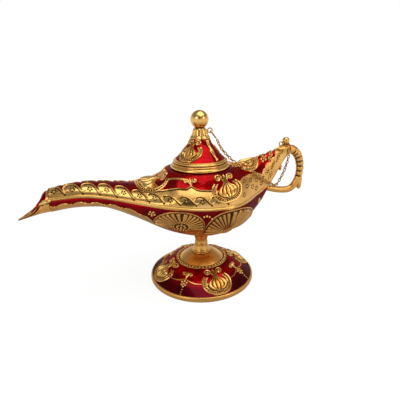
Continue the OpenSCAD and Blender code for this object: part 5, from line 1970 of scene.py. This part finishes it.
@dataclass
class Handle:
    """The loop handle with its thumb spur, the finial and the small rings on the tail."""

    palette: Palette
    form: BodyForm
    sides: int = 28
    loop_a: float = 9.7
    loop_b: float = 15.1
    top_t: float = 3.3
    low_t: float = 2.5
    arm_t: float = 2.2
    spur_l: float = 12.0
    grooves: int = 6
    finial_r: float = 2.6
    wire_r: float = 0.4
    eye_r: float = 1.5

    def __post_init__(self) -> None:
        """Sets out the loop."""
        form = self.form
        self.centre = np.array([form.tail_x + 0.3, 0.0, form.bowl_z + form.ridge_tail_z - self.loop_b])
        self.arm_z = float(form.ridge_at(form.stern_x)) - self.arm_t - 0.25
        self.finial_x = form.tail_x - 2.6
        self.finial_z = form.bowl_z + float(curve(form.crown_line, self.finial_x))

    def build(self) -> None:
        """Makes the handle's pieces."""
        self.loop()
        self.finial()
        self.rings()

    def path(self) -> tuple[np.ndarray, np.ndarray]:
        """The loop's centre line and its half thickness."""
        c, form = self.centre, self.form
        a = np.linspace(0, math.pi, 121)
        loop = np.stack([c[0] + self.loop_a * np.sin(a), 0 * a, c[2] + self.loop_b * np.cos(a)], -1)
        p, q = loop[-1], np.array([form.stern_x, 0.0, self.arm_z])
        bend = np.array([mix(p[0], q[0], 0.45), 0.0, p[2]])
        ease_in = np.array([q[0] + 4, 0.0, q[2] - 0.4])
        t = np.linspace(0, 1, 41)[1:, None]
        arm = (1 - t) ** 3 * p + 3 * t * (1 - t) ** 2 * bend + 3 * t * t * (1 - t) * ease_in + t**3 * q
        round_loop = mix(self.top_t, self.low_t, ease(a / math.pi))
        along_arm = mix(self.low_t, self.arm_t, t[:, 0])
        start = loop[0] - np.array([0.3, 0, 0])
        return np.vstack([start, loop, arm]), np.concatenate([[self.top_t], round_loop, along_arm])

    def loop(self) -> None:
        """The loop with cross grooves on its upper arm, their deepest parts painted dark as shade, and a line
        along its lower half.
        """
        path, thick = self.path()
        share = np.linspace(0, 1, len(path))
        turns = self.grooves * (share - 0.1) / 0.36
        cuts = 0.2 * np.exp(-(((turns + 0.5) % 1.0 - 0.5) / 0.13) ** 2)
        inside = (share > 0.08) & (share < 0.48)
        thick = thick * np.where(inside, 0.98 - cuts, 0.98)
        a = full_turn(self.sides)
        ahead = np.gradient(path, axis=0)
        ahead /= np.linalg.norm(ahead, axis=1)[:, None]
        normal = np.stack([-ahead[:, 2], ahead[:, 1], ahead[:, 0]], -1)
        across = np.array([0.0, 1.0, 0.0])
        lines = np.exp(-((a - 1.2) / 0.16) ** 2) + np.exp(-((a - 5.08) / 0.16) ** 2)
        rings = []
        for i, point in enumerate(path):
            r = thick[i] * (1 - 0.1 * ease((share[i] - 0.46) / 0.06) * lines)
            out, side = (r * np.cos(a))[:, None], (r * 0.92 * np.sin(a))[:, None]
            rings.append(point + out * normal[i] + side * across)
        bm = bmesh.new()
        loft(bm, np.array(rings))
        # Painted shade: the deepest parts of the cross grooves take the dark finish.
        depth = np.where(inside, cuts, 0)
        for face in bm.faces:
            at = np.array(face.calc_center_median())
            face.material_index = int(depth[np.argmin(np.linalg.norm(path - at, axis=1))] > 0.11)
        self.spur(bm)
        self.knobs(bm)
        finishes = [self.palette.satin, self.palette.shade_and_patina]
        finish(bm, "handle_casting", finishes, ["handle_loop"], sharp_deg=50)

    def spur(self, bm: bmesh.types.BMesh) -> None:
        """The curved thumb spur under the loop's side."""
        x, top = self.centre[0] + self.loop_a, self.centre[2] - 0.25 * self.loop_b
        drops = [(0.2, -0.5), (0.4, 0.28 * self.spur_l), (0.1, 0.6 * self.spur_l), (0.4, 0.86 * self.spur_l),
                 (1.1, self.spur_l)]
        path = through([(x + out, 0, top - drop) for out, drop in drops], 5)
        line = [(0, 1.6), (0.35, 2.1), (0.6, 2.1), (0.85, 1.1), (1, 0.2)]
        sizes = curve(line, np.linspace(0, 1, len(path)))
        tube(bm, path, sizes, 16)

    def knobs(self, bm: bmesh.types.BMesh) -> None:
        """The small scroll on the tail's rear edge."""
        x = self.form.tail_x - 7.6
        z = float(self.form.ridge_at(x)) - 0.4
        for k, size in enumerate((1.7, 1.1)):
            ball(bm, (x + 1.2 + 0.5 * k, 0, z - 1.6 - 2.0 * k), size, 20, 12, widen=1.1)

    def finial(self) -> None:
        """The small ball on the tail, on its neck."""
        x, z = self.finial_x, self.finial_z
        profile = [(0.02, z - 2), (0.8, z - 2), (0.8, z), (1.5, z + 0.05), (1.5, z + 0.25), (0.85, z + 0.5),
                   (0.8, z + 1.6), (0.02, z + 1.6)]
        neck = bmesh.new()
        turn_profile(neck, profile, 32)
        bmesh.ops.translate(neck, vec=(x, 0, 0), verts=neck.verts)
        bm = bmesh.new()
        ball(bm, (x, 0, z + 0.9 + 0.92 * self.finial_r), self.finial_r, 32, 20)
        pour(neck, bm)
        finish(bm, "tail_ball", [self.palette.polished], ["tail_finial"])

    def rings(self) -> None:
        """The eyelet beside the ball and the chain's last ring."""
        lean = Matrix.Rotation(math.radians(-18), 3, "Y") @ Matrix.Rotation(math.radians(9), 3, "X")
        eye, ring = (oval(r, r, 36) for r in (self.eye_r - 0.2, self.eye_r + 0.7))
        for name, node, path, wire_r in (
            ("tail_eye_ring", "tail_eyelet", eye[:, [0, 2, 1]], self.wire_r),
            ("tail_chain_ring", "tail_ring", ring @ np.array(lean).T, self.wire_r * 0.8),
        ):
            low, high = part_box(node)
            bm = bmesh.new()
            tube(bm, np.array((low + high) / 2) / MM + path, wire_r, 12, closed=True)
            finish(bm, name, [self.palette.chain], [node])


@dataclass
class ChainRun:
    """The link chain from the lid to the ring on the tail."""

    PLAY_MM = 0.12

    palette: Palette
    link_l: float = 2.9
    link_w: float = 2.3
    wire_r: float = 0.37
    diameter: float = 2.2
    bend_from_x: float = 52.0
    bend_to_x: float = 12.0
    route: tuple[tuple[float, float, float], ...] = (
        (11.8, 0, 100), (14.4, -0.6, 94.4), (17.6, -2, 90.2), (20.2, -3.6, 87.2), (22.8, -5.6, 84.8),
        (25.6, -8, 82.8), (29, -10.8, 81.4), (33, -13, 79.2), (37, -13.2, 76.6), (41, -12, 73.6),
        (45, -10.6, 70.8), (49, -8.8, 68.2), (52.5, -6.5, 66.2), (55.4, -3.6, 65.3), (57.8, -1.6, 66),
        (59.6, -1.8, 69.5), (61.2, -2.4, 73.5), (62.4, -3, 78), (63, -4, 82.5), (63.4, -4.8, 87),
        (63.5, -4.7, 89.6), (63.5, -4.1, 92.4),
    )

    def links(self, path: np.ndarray, run: np.ndarray) -> bmesh.types.BMesh:
        """Threads oval links along a path, each turned a quarter from the one before.

        Args:
            path: the path's points.
            run: the distance along it at each of them.

        Returns:
            The links.
        """
        link = oval(self.link_l / 2 - self.wire_r, self.link_w / 2 - self.wire_r, 14)
        count = int(run[-1] / (self.link_l - 2 * self.wire_r - self.PLAY_MM))
        pitch = run[-1] / count
        bm = bmesh.new()
        for k in range(count):
            middle = (k + 0.5) * pitch
            point, before, after = (
                Vector([float(np.interp(d, run, path[:, i])) for i in range(3)])
                for d in (middle, middle - 0.4, middle + 0.4)
            )
            ahead = (after - before).normalized()
            side = ahead.cross(Vector((0, 0, 1))).normalized()
            lean = math.radians(40 + 90 * (k % 2))
            across = math.cos(lean) * side + math.sin(lean) * side.cross(ahead)
            turn = Matrix((ahead, across, ahead.cross(across))).transposed()
            tube(bm, link @ np.array(turn).T + np.array(point), self.wire_r, 6, closed=True)
        log.info("chain: %d links, %.1f mm", count, run[-1])
        return bm

    def build(self) -> None:
        path = through(self.route, 8)
        run = run_along(path)
        piece = finish(self.links(path, run), "link_chain", [self.palette.chain], ["chain"], body=None)
        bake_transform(piece)


class LooseParts:
    """Nodes that keep their own solids and get a finish: fasteners, the lid's eyelet and the oval link."""

    def __init__(self, palette: Palette) -> None:
        """Keeps the palette."""
        self.palette = palette

    def build(self) -> None:
        """Dresses the nodes."""
        finishes = {
            self.palette.steel: (
                "foot_bolt", "foot_washer", "bowl_washer", "bowl_nut", "knob_stud", "knob_washer", "knob_nut",
            ),
            self.palette.chain: ("lid_eyelet", "oval_link"),
        }
        for material, names in finishes.items():
            for name in names:
                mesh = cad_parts[name].data
                mesh.materials.clear()
                mesh.materials.append(material)
                log_piece(name, len(mesh.polygons))


# Studio


@dataclass
class Studio:
    """The floor, the lamps, the world and the camera."""

    eye: tuple[float, float, float] = (-61.2, -226.7, 143.3)
    look: tuple[float, float, float] = (0.2434, 0.9083, -0.3404)
    roll_deg: float = -0.85
    lens: float = 32.2
    sensor: float = 36.0
    floor_r: float = 3.0
    floor_white: float = 1.04
    room_low: float = 0.82
    room_high: float = 0.28
    eye_dark: float = 0.12

    def build(self) -> None:
        """Makes everything round the lamp."""
        self.camera()
        self.floor()
        self.world()
        self.lamps()
        bpy.context.scene.view_settings.view_transform = "Standard"

    def camera(self) -> None:
        """The camera."""
        ahead = Vector(self.look).normalized()
        right = ahead.cross(Vector((0, 0, 1))).normalized()
        up = right.cross(ahead)
        r = math.radians(self.roll_deg)
        tilted_right = right * math.cos(r) + up * math.sin(r)
        tilted_up = up * math.cos(r) - right * math.sin(r)
        data = bpy.data.cameras.new("camera")
        data.lens = self.lens
        data.sensor_width = self.sensor
        data.clip_start = 0.01
        data.clip_end = 20.0
        camera = put("camera", data)
        turn = Matrix((tilted_right, tilted_up, -ahead)).transposed().to_4x4()
        camera.matrix_world = Matrix.Translation(Vector(self.eye) * MM) @ turn
        bpy.context.scene.camera = camera

    def floor(self) -> None:
        """A round white floor that keeps a soft shadow and fades into the backdrop; in reflections it glows
        darker near the lamp, a painted shadow.
        """
        bm = bmesh.new()
        bmesh.ops.create_circle(bm, cap_ends=True, segments=96, radius=self.floor_r)
        mesh = to_mesh(bm, "floor")
        put("floor", mesh)
        sheet = NodeSheet(bpy.data.materials.new("white_floor"))
        rays = sheet.add("ShaderNodeLightPath").outputs
        seen = sheet.calc("MAXIMUM", rays["Is Camera Ray"], rays["Is Glossy Ray"])
        seen = sheet.calc("MAXIMUM", seen, rays["Is Transmission Ray"])
        distance = sheet.add("ShaderNodeVectorMath", {0: sheet.place}, operation="LENGTH").outputs["Value"]
        share = sheet.calc("MULTIPLY", seen, sheet.span(distance, 0.1, 0.4, 0.86, 1.0))
        lit = sheet.add("ShaderNodeBsdfDiffuse", {"Color": (0.9, 0.9, 0.9, 1)})
        # Painted shadow: in reflections the floor glows darker near the lamp.
        shadowed_glow = sheet.span(distance, 0.06, 0.3, 0.36, 0.9)
        bright = sheet.add("ShaderNodeMix", {0: rays["Is Glossy Ray"], 2: self.floor_white, 3: shadowed_glow})
        glow = sheet.add("ShaderNodeEmission", {"Color": (1, 1, 1, 1), "Strength": bright.outputs[0]})
        both = sheet.add("ShaderNodeMixShader", {0: share, 1: lit.outputs[0], 2: glow.outputs[0]})
        mesh.materials.append(sheet.close(both))

    def world(self) -> None:
        """A white backdrop for the camera, and a dim room for the metal to reflect.

        The room is bright near the horizon, dimmer above, and dark in the direction of the camera.
        """
        sheet = NodeSheet(bpy.data.worlds.new("studio"))
        way = sheet.coordinates["Generated"]
        height = sheet.add("ShaderNodeSeparateXYZ", {0: way}).outputs["Z"]
        eye = -Vector(self.look).normalized()
        toward = sheet.add("ShaderNodeVectorMath", {0: way, 1: eye}, operation="DOT_PRODUCT").outputs["Value"]
        room = sheet.calc(
            "MULTIPLY",
            sheet.span(height, 0.1, 0.5, self.room_low, self.room_high, interpolation_type="SMOOTHSTEP"),
            sheet.span(toward, 0.96, 0.99, 1, self.eye_dark, interpolation_type="SMOOTHSTEP"),
        )
        rays = sheet.add("ShaderNodeLightPath").outputs
        glossy = sheet.calc("MULTIPLY", room, rays["Is Glossy Ray"])
        plain = sheet.calc("SUBTRACT", 1.0, rays["Is Glossy Ray"])
        lit = sheet.calc("ADD", sheet.calc("MULTIPLY", rays["Is Camera Ray"], 0.4), 0.6)
        strength = sheet.calc("ADD", glossy, sheet.calc("MULTIPLY", plain, lit))
        back = sheet.add("ShaderNodeBackground", {"Color": (1, 1, 1, 1), "Strength": strength})
        bpy.context.scene.world = sheet.close(back, "ShaderNodeOutputWorld")

    def lamps(self) -> None:
        """A wide soft lamp overhead, a fill at the front left and a small one at the front right."""
        target = Vector((0, 0, 0.06))
        for name, place, size, power in (
            ("key", (0.1, -0.14, 0.75), 0.74, 2.9),
            ("fill", (-0.7, -0.5, 0.5), 0.35, 0.9),
            ("side", (0.55, -0.6, 0.42), 0.25, 0.5),
        ):
            data = bpy.data.lights.new(name, "AREA")
            data.shape = "SQUARE"
            data.size = size
            data.energy = power
            lamp = put(name, data)
            lamp.location = place
            lamp.rotation_euler = (target - Vector(place)).to_track_quat("-Z", "Y").to_euler()


def main() -> None:
    """Builds the studio, the chain and then every sub-assembly."""
    logging.basicConfig(level=logging.INFO, format="%(name)s %(message)s")
    palette = Palette()
    form = BodyForm()
    Studio().build()
    ChainRun(palette).build()
    for assembly in (
        Foot(palette), Hull(palette, form), Shoulders(palette, form), Spout(palette, form),
        Lid(palette, form), Handle(palette, form), LooseParts(palette),
    ):
        assembly.build()


if __name__ == "__main__":
    main()
